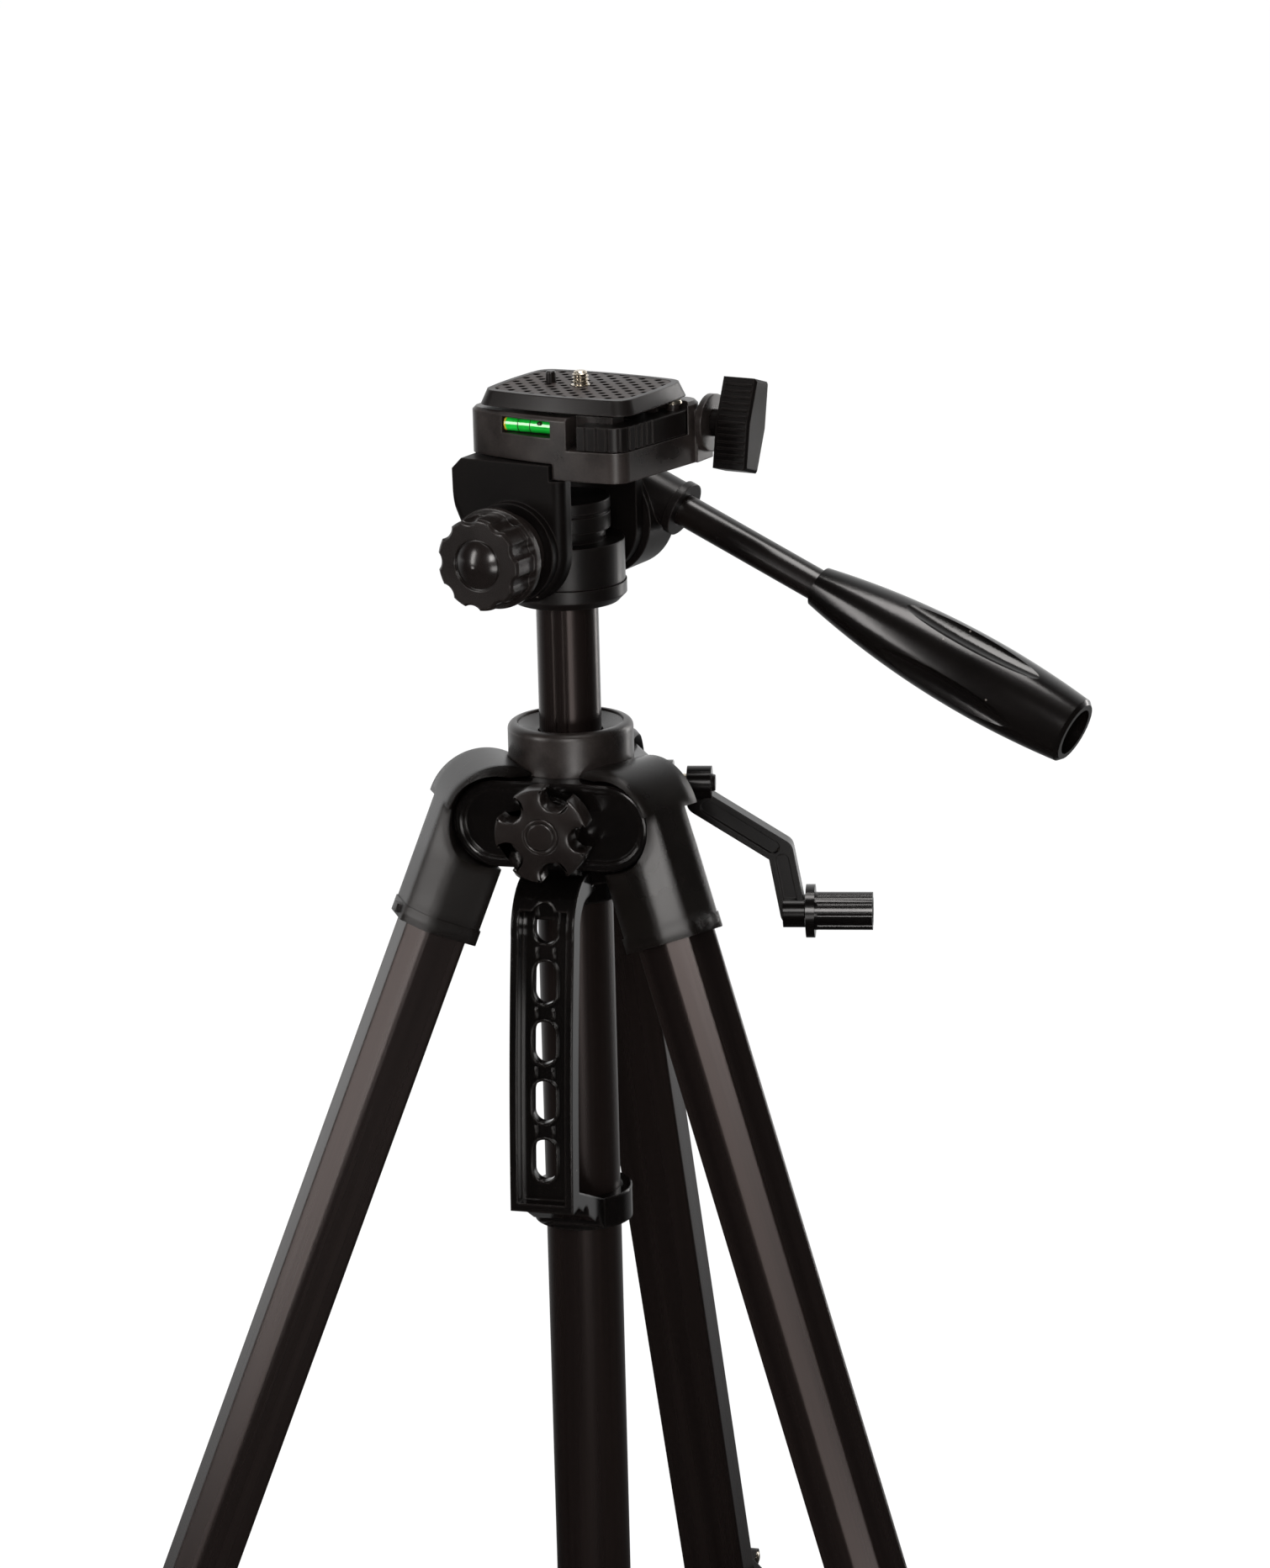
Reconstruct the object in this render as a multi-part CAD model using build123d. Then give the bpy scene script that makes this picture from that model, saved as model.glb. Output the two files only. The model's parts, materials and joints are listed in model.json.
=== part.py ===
"""Camera tripod with a geared centre column and a three-way pan head.

Millimetres, Z up.  The origin is the floor point under the centre column's axis, and the rear leg is
towards +Y.  Heights of the shoulder and the head are measured from a datum just below the leg hinges.
"""
import os
from math import atan2, cos, degrees, hypot, pi, radians, sin, sqrt, tan

from build123d import *

# Fits between moving and seated pieces
RUN_GAP = 0.05          # radial running clearance of a shaft in its hole
SLIDE_GAP = 0.3         # clearance between telescoping leg tubes
FREE_GAP = 0.4          # clearance between faces that pass each other
SEAT_GAP = 0.02         # clearance of pieces pressed or glued together
CUT = 1.0               # how far a cut runs past the face that it opens

# Leg stance
LEG_SPLAY = 22.07       # degrees between an open leg and the vertical
LEG_FOLD = 20.0         # degrees that a leg folds in from there
LEG_LENGTH = 574.0      # hinge level to sole along the leg, sections pushed in
LEG_HINGE_RADIUS = 32.0
LEG_HINGE_INSET = 8.0   # hinge axis inside the leg's centre line
LEG_AZIMUTHS = {"rear": 90.0, "left": 210.0, "right": 330.0}
HINGE_ABOVE_DATUM = 6.0

# Leg tubes: outer size of the upper section, nested sections follow from wall and gap
LEG_WIDTH = 27.2
LEG_DEPTH = 23.0
LEG_BEVEL = 7.0
LEG_CORNER = 1.1
LEG_WALL = 1.2
UPPER_TUBE_TOP = 22.0   # tube tops, down the leg from hinge level
MIDDLE_TUBE_TOP = 72.0
LOWER_TUBE_TOP = 84.0
TUBE_SHOW = 4.0         # bare tube between a clamp and the piece below it

# Leg caps
CAP_WALL = 2.8
CAP_EDGE = 1.8
CAP_SLEEVE_END = 49.0
CAP_LIP_HEIGHT = 6.0
CAP_LIP_PROUD = 0.5
CAP_NUB_DEPTH = 3.0
CAP_NUB_WIDTH = 5.0
CAP_NUB_HEIGHT = 3.4
CAP_WEB_GAP = 0.8

# Leg clamps and their levers
UPPER_CLAMP_LENGTH = 40.0
MIDDLE_CLAMP_LENGTH = 38.0
CLAMP_LIP = 11.0        # length of a clamp below the tube that it sits on
CLAMP_WALL = 3.6
CLAMP_EAR_WALL = 3.0
LEVER_WIDTH = 15.0
LEVER_THICKNESS = 4.5
LEVER_PIVOT_RADIUS = 2.0
LEVER_PIVOT_BITE = 2.0  # how far the pivot enters each ear
LEVER_EYE_RADIUS = 4.0
LEVER_PIVOT_DROP = 7.0  # pivot below the top of its clamp
LEVER_TAIL = 2.0        # lever's end above the clamp's end
LEVER_SCOOP = 4.0       # height of the finger scoop under the lever's end
LEVER_SCOOP_DEPTH = 2.5
LEVER_LIP = 1.5
LEVER_LIP_LENGTH = 6.0

# Feet
FOOT_HEIGHT = 38.0
FOOT_WALL = 2.6
FOOT_SOLE = 12.0        # rubber below the tube's end
FOOT_GROOVES = 3
FOOT_GROOVE_DROP = 9.0  # first groove below the boot's top
FOOT_GROOVE_PITCH = 5.0
FOOT_GROOVE_WIDTH = 2.0
FOOT_GROOVE_DEPTH = 0.8

# Shoulder casting
HUB_RADIUS = 23.5
HUB_TOP = 23.0
HUB_BOTTOM = -20.0
WEB_FACE = 31.0         # outer web face from the column axis
WEB_THICKNESS = 8.0
WEB_HEIGHT = 34.0
WEB_RIM = 3.6
WEB_RECESS = 1.6
PIVOT_PIN_RADIUS = 3.0
PIVOT_PIN_HALF = 12.0

# Centre column and its guide tube
COLUMN_RADIUS = 12.0
COLUMN_WALL = 1.6
COLUMN_TOP = 93.5
COLUMN_BOTTOM = -290.0
COLUMN_DROP = 45.0      # travel down from rest
COLUMN_RISE = 200.0     # travel up from rest
KEY_WIDTH = 4.4
KEY_GROOVE = 0.8
GUIDE_RADIUS = 14.75
GUIDE_WALL = 1.5
GUIDE_TOP = -10.0
GUIDE_BOTTOM = -362.0
SOCKET_RADIUS = 18.6
SOCKET_BOTTOM = -29.0
END_CAP_RADIUS = 18.0
END_CAP_HEIGHT = 12.0
END_CAP_FLOOR = 2.5
END_CAP_EDGE = 1.5
BUSH_LENGTH = 22.0
BUSH_WALL = 4.9
COLLAR_RADIUS = 24.3
COLLAR_HEIGHT = 17.2
COLLAR_MOUTH = 20.6
COLLAR_TAPER = 2.0
COLLAR_WELL = 6.0       # depth left under the funnel mouth
COLLAR_FLOOR = 3.5
COLLAR_ROUND = 2.8

# Rack, pinion and crank
MODULE = 1.25
PINION_TEETH = 8
RACK_WIDTH = 8.0
RACK_BACKING = 2.0      # solid column behind the rack's roots
RACK_SIDE = 1.5         # solid column beside the rack
RACK_SPARE = 9.0        # rack past each end of the travel
PINION_WIDTH = 7.0
PINION_ROOM = 0.5
RACK_ADDENDUM = 0.75    # in modules
PINION_ADDENDUM = 0.68
TOOTH_TIP_EASE = 1.4    # pinion flank lean, as a share of the rack's
TOOTH_ROOT_EASE = 0.35
ROOT_CLEARANCE = 0.3
TOOTH_BACKLASH = 0.5
FLANK_ANGLE = 20.0
CRANK_HEIGHT = 10.7
CRANK_AZIMUTH = 10.0
CRANK_SHAFT_RADIUS = 3.5
CRANK_SHAFT_INNER = -14.0
CRANK_BOSS_RADIUS = 9.0
CRANK_BOSS_START = 16.5
CRANK_BOSS_END = 38.0
CRANK_HUB_START = 43.5
CRANK_HUB_END = 53.0
CRANK_HUB_RADIUS = 6.6
CRANK_KNEE_DROP = 7.0   # plain drop from the hub before the slanting run
CRANK_ELBOW_REACH = 79.5  # along the shaft
CRANK_ELBOW_DROP = 27.0
CRANK_THROW = 52.0
CRANK_FOOT_LEAN = 4.5   # lower end past the elbow, along the shaft
CRANK_ARM_WIDTH = 10.0
CRANK_ARM_DEPTH = 8.0
CRANK_RIM = 2.5
CRANK_GROOVE = 1.4
CRANK_PAD_RADIUS = 6.5
CRANK_SQUARE = 4.7
CRANK_SQUARE_END = 50.0
CRANK_GRIP_SEAT = 5.0    # grip past the arm's lower end
CRANK_GRIP_LENGTH = 26.0
CRANK_GRIP_RADIUS = 7.5
CRANK_GRIP_CUP = 6.0    # depth of the hollow in the grip's end
CRANK_GRIP_WALL = 2.2
CRANK_FLANGE_RADIUS = 10.5
CRANK_FLANGE_WIDTH = 3.5
CRANK_PIN_RADIUS = 3.0
GRIP_RIBS = 10
GRIP_RIB_RADIUS = 1.0

# Column lock knob
STAR_RADIUS = 18.5
STAR_LOBES = 5
STAR_TURN = 34.0        # degrees to the first lobe
STAR_NOTCH = 5.6
STAR_NOTCH_DEPTH = 8.0
STAR_CORNER = 1.2
STAR_FACE = 46.0        # front face from the column axis
STAR_THICKNESS = 11.0
STAR_NECK_RADIUS = 8.5
STAR_BOSS_WALL = 2.0
STAR_SCREW_RADIUS = 3.0
STAR_BUTTON_RADIUS = 5.6
STAR_GROOVE_WIDTH = 1.6
STAR_GROOVE_DEPTH = 1.6

# Carry handle
HANDLE_WIDTH = 25.0
HANDLE_DEPTH = 9.0
HANDLE_RIM = 3.2
HANDLE_CHANNEL = 5.5    # depth of the channel between the rims
HANDLE_TOP = -14.0
HANDLE_BEND = 20.0      # outer radius of the bend under the shoulder
HANDLE_SHOULDER = 47.5  # front face from the column axis, under the bend
HANDLE_BOW = 55.0       # and half-way down
HANDLE_FOOT = 59.0      # and at the foot
HANDLE_BOTTOM = -140.5
HANDLE_SLOTS = 5
HANDLE_SLOT_WIDTH = 9.0
HANDLE_SLOT_LENGTH = 16.5
HANDLE_SLOT_PITCH = 23.0
HANDLE_LAST_SLOT = 19.2  # centre of the lowest slot above the foot
CLASP_WALL = 4.6
CLASP_HEIGHT = 12.5
CLASP_DROP = 9.0        # ring's top below the strap's foot
CLASP_BRIDGE = 6.5      # height of the bridge at the strap
CLASP_SCALLOP = 5.0
CLASP_SCALLOP_DROP = 2.5
CLASP_SCALLOPS = (0.25, 0.72)  # places along the bridge's underside

# Leg brace
BRACE_HUB_HEIGHT = -332.0
BRACE_HUB_RADIUS = 18.4
BRACE_HUB_HALF = 10.0
BRACE_PIVOT_RADIUS = 26.0
BRACE_PIN_RADIUS = 2.0
BRACE_PIN_HEAD = 1.5
BRACE_RIVET_RADIUS = 3.4
BRACE_RIVET_HEAD = 1.2
BRACE_LUG_THICKNESS = 6.0
BRACE_LUG_ROUND = 5.0
BRACE_LUG_DROP = 9.2          # leg pin below the top of the upper clamp
BRACE_LEG_PIN_INSET = 30.4    # inside the leg's centre line
BRACE_SLOT_TRAVEL = 19.6
BRACE_SLOT_SLACK = 1.85
BRACE_SLOT_SPARE = 2.0
BRACE_ARM_WALL = 1.5
BRACE_ARM_GAP = 0.5
BRACE_ARM_HEIGHT = 11.4
BRACE_WEB_START = 17.7        # channel web from the hub pivot
BRACE_WEB_END = 22.0          # and short of the slot

# Pan base and housing, in the head's own frame: X towards the operator, Y towards the handle side
PAN_ANGLE = -14.8
PAN_BASE_BITE = 5.5     # column inside the base
PAN_BASE_HEIGHT = 8.0
PAN_BASE_RADIUS = 23.2
PAN_BASE_EDGE = 3.0
PAN_SEAM_GAP = 0.2
PAN_RADIUS = 22.7
PAN_HEIGHT = 16.0
PAN_SPIGOT_RADIUS = 8.0
PAN_SPIGOT_HEIGHT = 7.5
NECK_RADIUS = 17.5
NECK_HEIGHT = 16.0
NECK_WAIST = 2.0        # depth of the waist under the neck
NECK_WAIST_HEIGHT = 4.5
NECK_BAND = 6.0         # waist to groove
NECK_GROOVE = 1.0
NECK_GROOVE_WIDTH = 1.5

# Tilt bracket, its lock knob and the pan handle
TILT_X = -3.5
TILT_RISE = 17.2        # tilt axis above the pan seam
TILT_AXLE_RADIUS = 4.0
TILT_AXLE_BITE = 9.0    # axle inside the handle socket
CHEEK_INNER = 24.5
CHEEK_THICKNESS = 7.5
CHEEK_ROUND = 21.0
CHEEK_EDGE = 4.0
CHEEK_BACK = -30.0
CHEEK_WAIST = 0.3       # how far the back edge draws in
CHEEK_WAIST_DROP = 22.0
CHEEK_CORNER = 4.2
CHEEK_BOSS_RADIUS = 19.0
CHEEK_BOSS_RISE = 3.5
BRACKET_RISE = 33.8     # bracket top above the tilt axis
BRACKET_PLATE = 7.0
BRACKET_PLATE_FRONT = 12.4
TILT_KNOB_RADIUS = 17.6
TILT_KNOB_LOBES = 9
TILT_KNOB_NOTCH = 5.0
TILT_KNOB_NOTCH_DEPTH = 1.5
TILT_KNOB_FACE = 59.0
TILT_KNOB_THICKNESS = 12.0
TILT_KNOB_EDGE = 1.0
TILT_KNOB_CORE = 8.0    # solid knob in front of the axle's end
TILT_FLANGE_RADIUS = 19.2
TILT_FLANGE_WIDTH = 2.5
TILT_SKIRT_RADIUS = 15.5
TILT_DOME_RADIUS = 9.0
TILT_DOME_RISE = 3.2
TILT_DOME_GROOVE = 0.8
SOCKET_DISC_RADIUS = 22.8
SOCKET_DISC_WIDTH = 21.0
SOCKET_DISC_EDGE = 1.5
ROD_DROP = 23.1        # degrees below level
ROD_RISE = 15.2         # rod axis past the tilt axis, square to the rod
ROD_OFFSET = 44.0       # rod axis from the head's centre plane
ROD_RADIUS = 6.25
SOCKET_START = 2.0      # along the rod axis, from abreast of the tilt axis
SOCKET_END = 27.5
SOCKET_TUBE_RADIUS = 9.6
SOCKET_FLANGE_RADIUS = 10.9
SOCKET_FLANGE_WIDTH = 3.0
ROD_BITE = 20.0
ROD_LENGTH = 63.5       # bare rod
ROD_IN_GRIP = 30.0
GRIP_LENGTH = 116.5
GRIP_NOSE_RADIUS = 8.0
GRIP_BELLY_RADIUS = 15.3
GRIP_BELLY_PLACE = 63.0
GRIP_END_RADIUS = 13.0
GRIP_END_EDGE = 1.5
GRIP_BORE_RADIUS = 9.3
GRIP_BORE_DEPTH = 24.0
GRIP_FLUTES = 4
FLUTE_TURN = 18.0       # degrees from the rod's own X to the first flute
FLUTE_LENGTH = 124.0
FLUTE_RADIUS = 8.0
FLUTE_DEPTH = 3.0

# Camera platform and its flip hinge
PLATFORM_BACK = -28.0
PLATFORM_FRONT = 48.0
PLATFORM_NEAR = -30.0
PLATFORM_FAR = 27.0
PLATFORM_CORNER = 7.0
PLATFORM_NEAR_BACK = -22.0   # near side at the back end, from where it bows out
PLATFORM_BOW_X = 14.0    # widest place of the near side
PLATFORM_NEAR_FRONT = -27.5  # near side at the front corner
PLATFORM_FRONT_NEAR = 41.5   # front edge at the near corner
PLATFORM_EDGE = 1.2
PLATFORM_THICKNESS = 17.5
PLATFORM_GAP = 0.5      # over the tilt bracket's plate
SHELF_DROP = 6.0        # shelf below the deck, in front of the bracket's plate
HINGE_Y = 28.0
HINGE_DROP = 9.6        # hinge axis below the platform's top
HINGE_KNUCKLE_RADIUS = 6.3
HINGE_BOLT_RADIUS = 3.0
HINGE_POST_INSET = 3.0
HINGE_EAR_ROOT = 8.0
HINGE_END_INSET = 6.0
HINGE_FOOT_LENGTH = 12.0  # foot of the front ear on the shelf
HINGE_FOOT_REACH = 3.0
KNUCKLE_BACK = -8.0
KNUCKLE_FRONT = 12.0
HINGE_DISC_RADIUS = 11.0
HINGE_DISC_WIDTH = 2.6
WING_START = 55.0
WING_LENGTH = 35.0
WING_WAIST = 14.5
WING_TIP = 10.5
WING_DEPTH = 14.0
WING_TURN = -17.0        # degrees, at rest
WING_EDGE = 1.0
WING_NECK_RADIUS = 5.2
VIAL_RADIUS = 2.6
VIAL_LENGTH = 21.5
VIAL_X = 1.0
VIAL_WINDOW_DROP = 1.6
VIAL_WINDOW_HEIGHT = 6.2
VIAL_Y = -23.8
VIAL_WINDOW_SPARE = 0.6

# Quick-release lever
QR_BAND = 8.0           # width of the lever all along
QR_NEAR_END = 23.7
QR_NOTCH = 4.6          # gap beside the lever's finger end
QR_HEIGHT = 9.0
QR_INSET = 2.6          # lever below the platform's top
QR_RIBS = 10
QR_RIB_X = 30.0         # middle of the ribs' fan
QR_RIB_Y = -12.0
QR_RIB_FIRST = -113.0   # degrees to the first groove
QR_RIB_STEP = 14.4
QR_RIB_WIDTH = 1.1
QR_RIB_DEPTH = 0.8
QR_PIN_X = 41.0
QR_PIN_Y = 13.2
QR_PIN_RADIUS = 2.5
QR_EYE_RADIUS = 5.2
QR_JAW_NEAR = -9.0
QR_JAW_FAR = 3.5
QR_JAW_SWING = 4.0      # room beside the jaw for the lever's swing

# Quick-release plate
PLATE_X = 9.7
PLATE_LENGTH = 65.0
PLATE_WIDTH = 49.0
PLATE_GAP = 1.5         # over the platform
PLATE_THICKNESS = 5.5
PLATE_CORNER = 7.5
PLATE_SIDE_BOW = 2.8    # the long sides swell outwards
PLATE_END_BOW = 1.5
PLATE_SLOPE = 21.0      # degrees of the side faces
PAD_THICKNESS = 1.5
PAD_TRAY = 1.6
PAD_INSET = 2.4
BOSS_HALF = 18.5        # dovetail half width at its foot
BOSS_HALF_DEPTH = 17.0
BOSS_DEPTH = 11.0
DOVETAIL = 15.0         # degrees
PLATE_LIFT = 12.0       # travel of the plate out of its seat, along the dovetail
CAMERA_SCREW_RADIUS = 3.175
CAMERA_SCREW_RISE = 5.5
CAMERA_SCREW_EDGE = 0.6
CAMERA_SHANK_RADIUS = 3.7
CAMERA_SHANK_RISE = 0.2  # plain shank above the pad
CAMERA_SCREW_X = 8.6
SCREW_HEAD_RADIUS = 7.5
SCREW_HEAD_HEIGHT = 4.0
SCREW_HEAD_RECESS = 0.2
SCREW_SLOT_WIDTH = 2.0
SCREW_SLOT_DEPTH = 1.6
PIN_RADIUS = 1.9
PIN_RISE = 4.5
PIN_ROUND = 0.8
PIN_SPACING = 13.0      # camera screw to anti-twist pin
PIN_TAIL = 4.6          # pin's lower end above the boss's foot
PIN_COLLAR_RADIUS = 2.8
PIN_COLLAR_HEIGHT = 1.6
PIN_ROOM_DEPTH = 7.0

# Worked-out places down the leg, from hinge level
FOOT_TOP = LEG_LENGTH - FOOT_HEIGHT
LOWER_TUBE_END = LEG_LENGTH - FOOT_SOLE
MIDDLE_CLAMP_END = FOOT_TOP - TUBE_SHOW
MIDDLE_CLAMP_TOP = MIDDLE_CLAMP_END - MIDDLE_CLAMP_LENGTH
MIDDLE_TUBE_END = MIDDLE_CLAMP_END - CLAMP_LIP
UPPER_CLAMP_END = MIDDLE_CLAMP_TOP - TUBE_SHOW
UPPER_CLAMP_TOP = UPPER_CLAMP_END - UPPER_CLAMP_LENGTH
UPPER_TUBE_END = UPPER_CLAMP_END - CLAMP_LIP
BRACE_LEG_PIN_DROP = UPPER_CLAMP_TOP + BRACE_LUG_DROP
MIDDLE_INSET = LEG_WALL + SLIDE_GAP
LOWER_INSET = 2 * MIDDLE_INSET
CAP_ARCH_RADIUS = LEG_HINGE_INSET + LEG_DEPTH / 2 + CAP_WALL

# Worked-out places of the shoulder and the rack drive
HINGE_HEIGHT = LEG_LENGTH * cos(radians(LEG_SPLAY)) - LEG_HINGE_INSET * sin(radians(LEG_SPLAY))
DATUM = HINGE_HEIGHT - HINGE_ABOVE_DATUM
PITCH_RADIUS = MODULE * PINION_TEETH / 2
RACK_TIP = sqrt(COLUMN_RADIUS ** 2 - (RACK_WIDTH / 2) ** 2)
RACK_PITCH_LINE = RACK_TIP - RACK_ADDENDUM * MODULE
RACK_ROOT = RACK_PITCH_LINE - PINION_ADDENDUM * MODULE - ROOT_CLEARANCE
CRANK_OFFSET = RACK_PITCH_LINE + PITCH_RADIUS
CRANK_FOOT = CRANK_ELBOW_REACH + CRANK_FOOT_LEAN
CRANK_GRIP_START = CRANK_FOOT + CRANK_GRIP_SEAT
CRANK_GRIP_END = CRANK_GRIP_START + CRANK_GRIP_LENGTH
WEB_REACH = (LEG_HINGE_RADIUS - (WEB_FACE - WEB_THICKNESS / 2) * cos(radians(60))) / sin(radians(60))

# Worked-out heights of the head, from the column's top upwards
PAN_BASE_BOTTOM = COLUMN_TOP - PAN_BASE_BITE
PAN_SEAM = PAN_BASE_BOTTOM + PAN_BASE_HEIGHT
PAN_SPIGOT_TOP = PAN_SEAM + PAN_SPIGOT_HEIGHT
PAN_TOP = PAN_SEAM + PAN_HEIGHT
TILT_HEIGHT = PAN_SEAM + TILT_RISE
CHEEK_OUTER = CHEEK_INNER + CHEEK_THICKNESS
CHEEK_FRONT = TILT_X + CHEEK_ROUND
BRACKET_TOP = TILT_HEIGHT + BRACKET_RISE
PLATFORM_BOTTOM = BRACKET_TOP + PLATFORM_GAP
PLATFORM_TOP = PLATFORM_BOTTOM + PLATFORM_THICKNESS
SHELF_BOTTOM = PLATFORM_BOTTOM - SHELF_DROP
QR_TOP = PLATFORM_TOP - QR_INSET
QR_BOTTOM = QR_TOP - QR_HEIGHT
SHELF_TOP = QR_BOTTOM - FREE_GAP
HINGE_Z = PLATFORM_TOP - HINGE_DROP
PLATE_BOTTOM = PLATFORM_TOP + PLATE_GAP
PLATE_TOP = PLATE_BOTTOM + PLATE_THICKNESS
BOSS_BOTTOM = PLATE_BOTTOM - BOSS_DEPTH
PAD_TOP = PLATE_TOP - PAD_TRAY + PAD_THICKNESS

SHOULDER = Pos(0, 0, DATUM)
HEAD = Rot(0, 0, PAN_ANGLE) * SHOULDER
CRANK = Rot(0, 0, CRANK_AZIMUTH) * Pos(0, CRANK_OFFSET, DATUM + CRANK_HEIGHT)


def rod(radius, start, end):
    """Round bar between two points."""
    start = Vector(start)
    along = Vector(end) - start
    return extrude(Plane(origin=start, z_dir=along) * Circle(radius), along.length)


def turned(points):
    """Solid of revolution about Z of an outline given as radius and height."""
    outline = make_face(Polyline(*[(radius, 0, height) for radius, height in points], close=True))
    return revolve(outline, Axis.Z)


def ring(outer, inner, bottom, top):
    """Upright tube between two heights."""
    return Pos(0, 0, bottom) * extrude(Circle(outer) - Circle(inner), top - bottom)


def stack(radius, bottom, top):
    """Upright cylinder between two heights."""
    return Pos(0, 0, bottom) * extrude(Circle(radius), top - bottom)


def block(low, high):
    """Box between two corners."""
    size = [b - a for a, b in zip(low, high)]
    middle = [(a + b) / 2 for a, b in zip(low, high)]
    return Pos(*middle) * Box(*size)


def area(low, high):
    """Rectangle between two corners."""
    middle = [(a + b) / 2 for a, b in zip(low, high)]
    return Pos(*middle) * Rectangle(high[0] - low[0], high[1] - low[1])


def star_outline(radius, lobes, notch, depth):
    """Round knob outline with a round notch of a given depth between each two lobes."""
    outline = Circle(radius)
    for i in range(lobes):
        turn = Rot(0, 0, 360 * (i + 0.5) / lobes)
        outline = outline - turn * Pos(radius + notch - depth, 0) * Circle(notch)
    return outline


def save(shape, node):
    """Write one piece to its file."""
    export_step(shape, f"parts/{node}.step")


# Legs

def leg_frame(azimuth):
    """Leg frame: origin on the centre line beside the hinge, X outwards, Z up the leg."""
    hinge = Pos(LEG_HINGE_RADIUS, 0, HINGE_HEIGHT) * Rot(0, -LEG_SPLAY, 0)
    return Rot(0, 0, azimuth) * hinge * Pos(LEG_HINGE_INSET, 0, 0)


def leg_section(inset):
    """Tube section: flat inner face, straight sides and two bevels, shrunk all round by inset."""
    half = LEG_WIDTH / 2 - inset
    deep = LEG_DEPTH / 2 - inset
    bevel = LEG_BEVEL - inset * (2 - sqrt(2))
    outline = Polyline(
        (-deep, -half), (deep - bevel, -half), (deep, bevel - half),
        (deep, half - bevel), (deep - bevel, half), (-deep, half), close=True)
    face = make_face(outline)
    return fillet(face.vertices(), LEG_CORNER)


def leg_bar(inset, top, end):
    """Solid bar of the leg section between two distances down the leg."""
    return Pos(0, 0, -end) * extrude(leg_section(inset), end - top)


def leg_tube(inset, top, end):
    """Hollow tube of the leg section."""
    return leg_bar(inset, top, end) - leg_bar(inset + LEG_WALL, top - CUT, end + CUT)


def web_room(side):
    """Space round the web beside the leg at azimuth 0 and in front of it; side is +1 or -1."""
    normal = Vector(cos(radians(60)), side * sin(radians(60)), 0)
    along = Vector(sin(radians(60)), -side * cos(radians(60)), 0)
    back = WEB_FACE - WEB_THICKNESS - CAP_WEB_GAP
    plane = Plane(origin=normal * back + Vector(0, 0, HINGE_HEIGHT), x_dir=along, z_dir=normal)
    radius = WEB_HEIGHT / 2 + CAP_WEB_GAP
    return extrude(plane * SlotOverall(2 * (WEB_REACH + radius), 2 * radius), 3 * CAP_ARCH_RADIUS)


def cap_room():
    """Spaces that the leg cap leaves free: hinge pin and, over the whole fold, collar and webs."""
    hinge = Pos(LEG_HINGE_RADIUS, 0, HINGE_HEIGHT)
    reach = CAP_ARCH_RADIUS + CAP_SLEEVE_END
    core = stack(COLLAR_RADIUS + FREE_GAP, HINGE_HEIGHT - reach, HINGE_HEIGHT + reach)
    room = [SHOULDER * pivot_pin(RUN_GAP, LEG_WIDTH)]
    for fold in (0, LEG_FOLD / 2, LEG_FOLD):
        turn = hinge * Rot(0, -fold, 0) * hinge.inverse()
        room += [turn * core, turn * web_room(1), turn * web_room(-1)]
    return room


def leg_cap():
    """Hinge cap and tube sleeve of the leg at azimuth 0."""
    width = LEG_WIDTH + 2 * CAP_WALL
    arch = rod(CAP_ARCH_RADIUS, (-LEG_HINGE_INSET, -width / 2, 0), (-LEG_HINGE_INSET, width / 2, 0))
    inner = -LEG_DEPTH / 2 - CAP_WALL
    arch = arch & block((inner, -width, -CUT), (CAP_ARCH_RADIUS, width, CAP_ARCH_RADIUS))
    arch = chamfer(arch.edges().filter_by(GeomType.CIRCLE), CAP_EDGE)
    sleeve = leg_bar(-CAP_WALL, 0, CAP_SLEEVE_END)
    lip = leg_bar(-CAP_WALL - CAP_LIP_PROUD, CAP_SLEEVE_END - CAP_LIP_HEIGHT, CAP_SLEEVE_END)
    nub = Box(CAP_NUB_DEPTH, CAP_NUB_WIDTH, CAP_NUB_HEIGHT)
    nub = Pos(LEG_DEPTH / 2 + CAP_WALL + CAP_LIP_PROUD, 0, CAP_LIP_HEIGHT / 2 - CAP_SLEEVE_END) * nub
    tube_seat = leg_bar(-SEAT_GAP, UPPER_TUBE_TOP, CAP_SLEEVE_END + CUT)
    cap = leg_frame(0) * (arch + sleeve + lip + nub - tube_seat)
    return cap - cap_room()


def lever_pivot(outer_inset, top):
    """Pivot of a clamp's lever in the leg frame, as X and Z."""
    face = LEG_DEPTH / 2 - outer_inset + CLAMP_WALL
    return face + LEVER_EYE_RADIUS + FREE_GAP, -top - LEVER_PIVOT_DROP


def clamp(outer_inset, bore_inset, top, seat, end):
    """Leg clamp: collar seated on one tube's end, gripping the next tube, with two ears for its lever."""
    body = leg_bar(outer_inset - CLAMP_WALL, top, end)
    body = body - leg_bar(outer_inset - SEAT_GAP, top - CUT, seat)
    x, z = lever_pivot(outer_inset, top)
    root = LEG_DEPTH / 2 - outer_inset + FREE_GAP
    for side in (1, -1):
        near = side * (LEVER_WIDTH / 2 + FREE_GAP)
        low, high = sorted((near, near + side * CLAMP_EAR_WALL))
        body = body + rod(LEVER_EYE_RADIUS, (x, low, z), (x, high, z))
        body = body + block((root, low, z - LEVER_EYE_RADIUS), (x, high, z + LEVER_EYE_RADIUS))
    body = body - leg_bar(bore_inset - SLIDE_GAP, top, end + CUT)
    half = LEVER_WIDTH / 2 + LEVER_PIVOT_BITE
    return body + rod(LEVER_PIVOT_RADIUS, (x, -half, z), (x, half, z))


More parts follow.
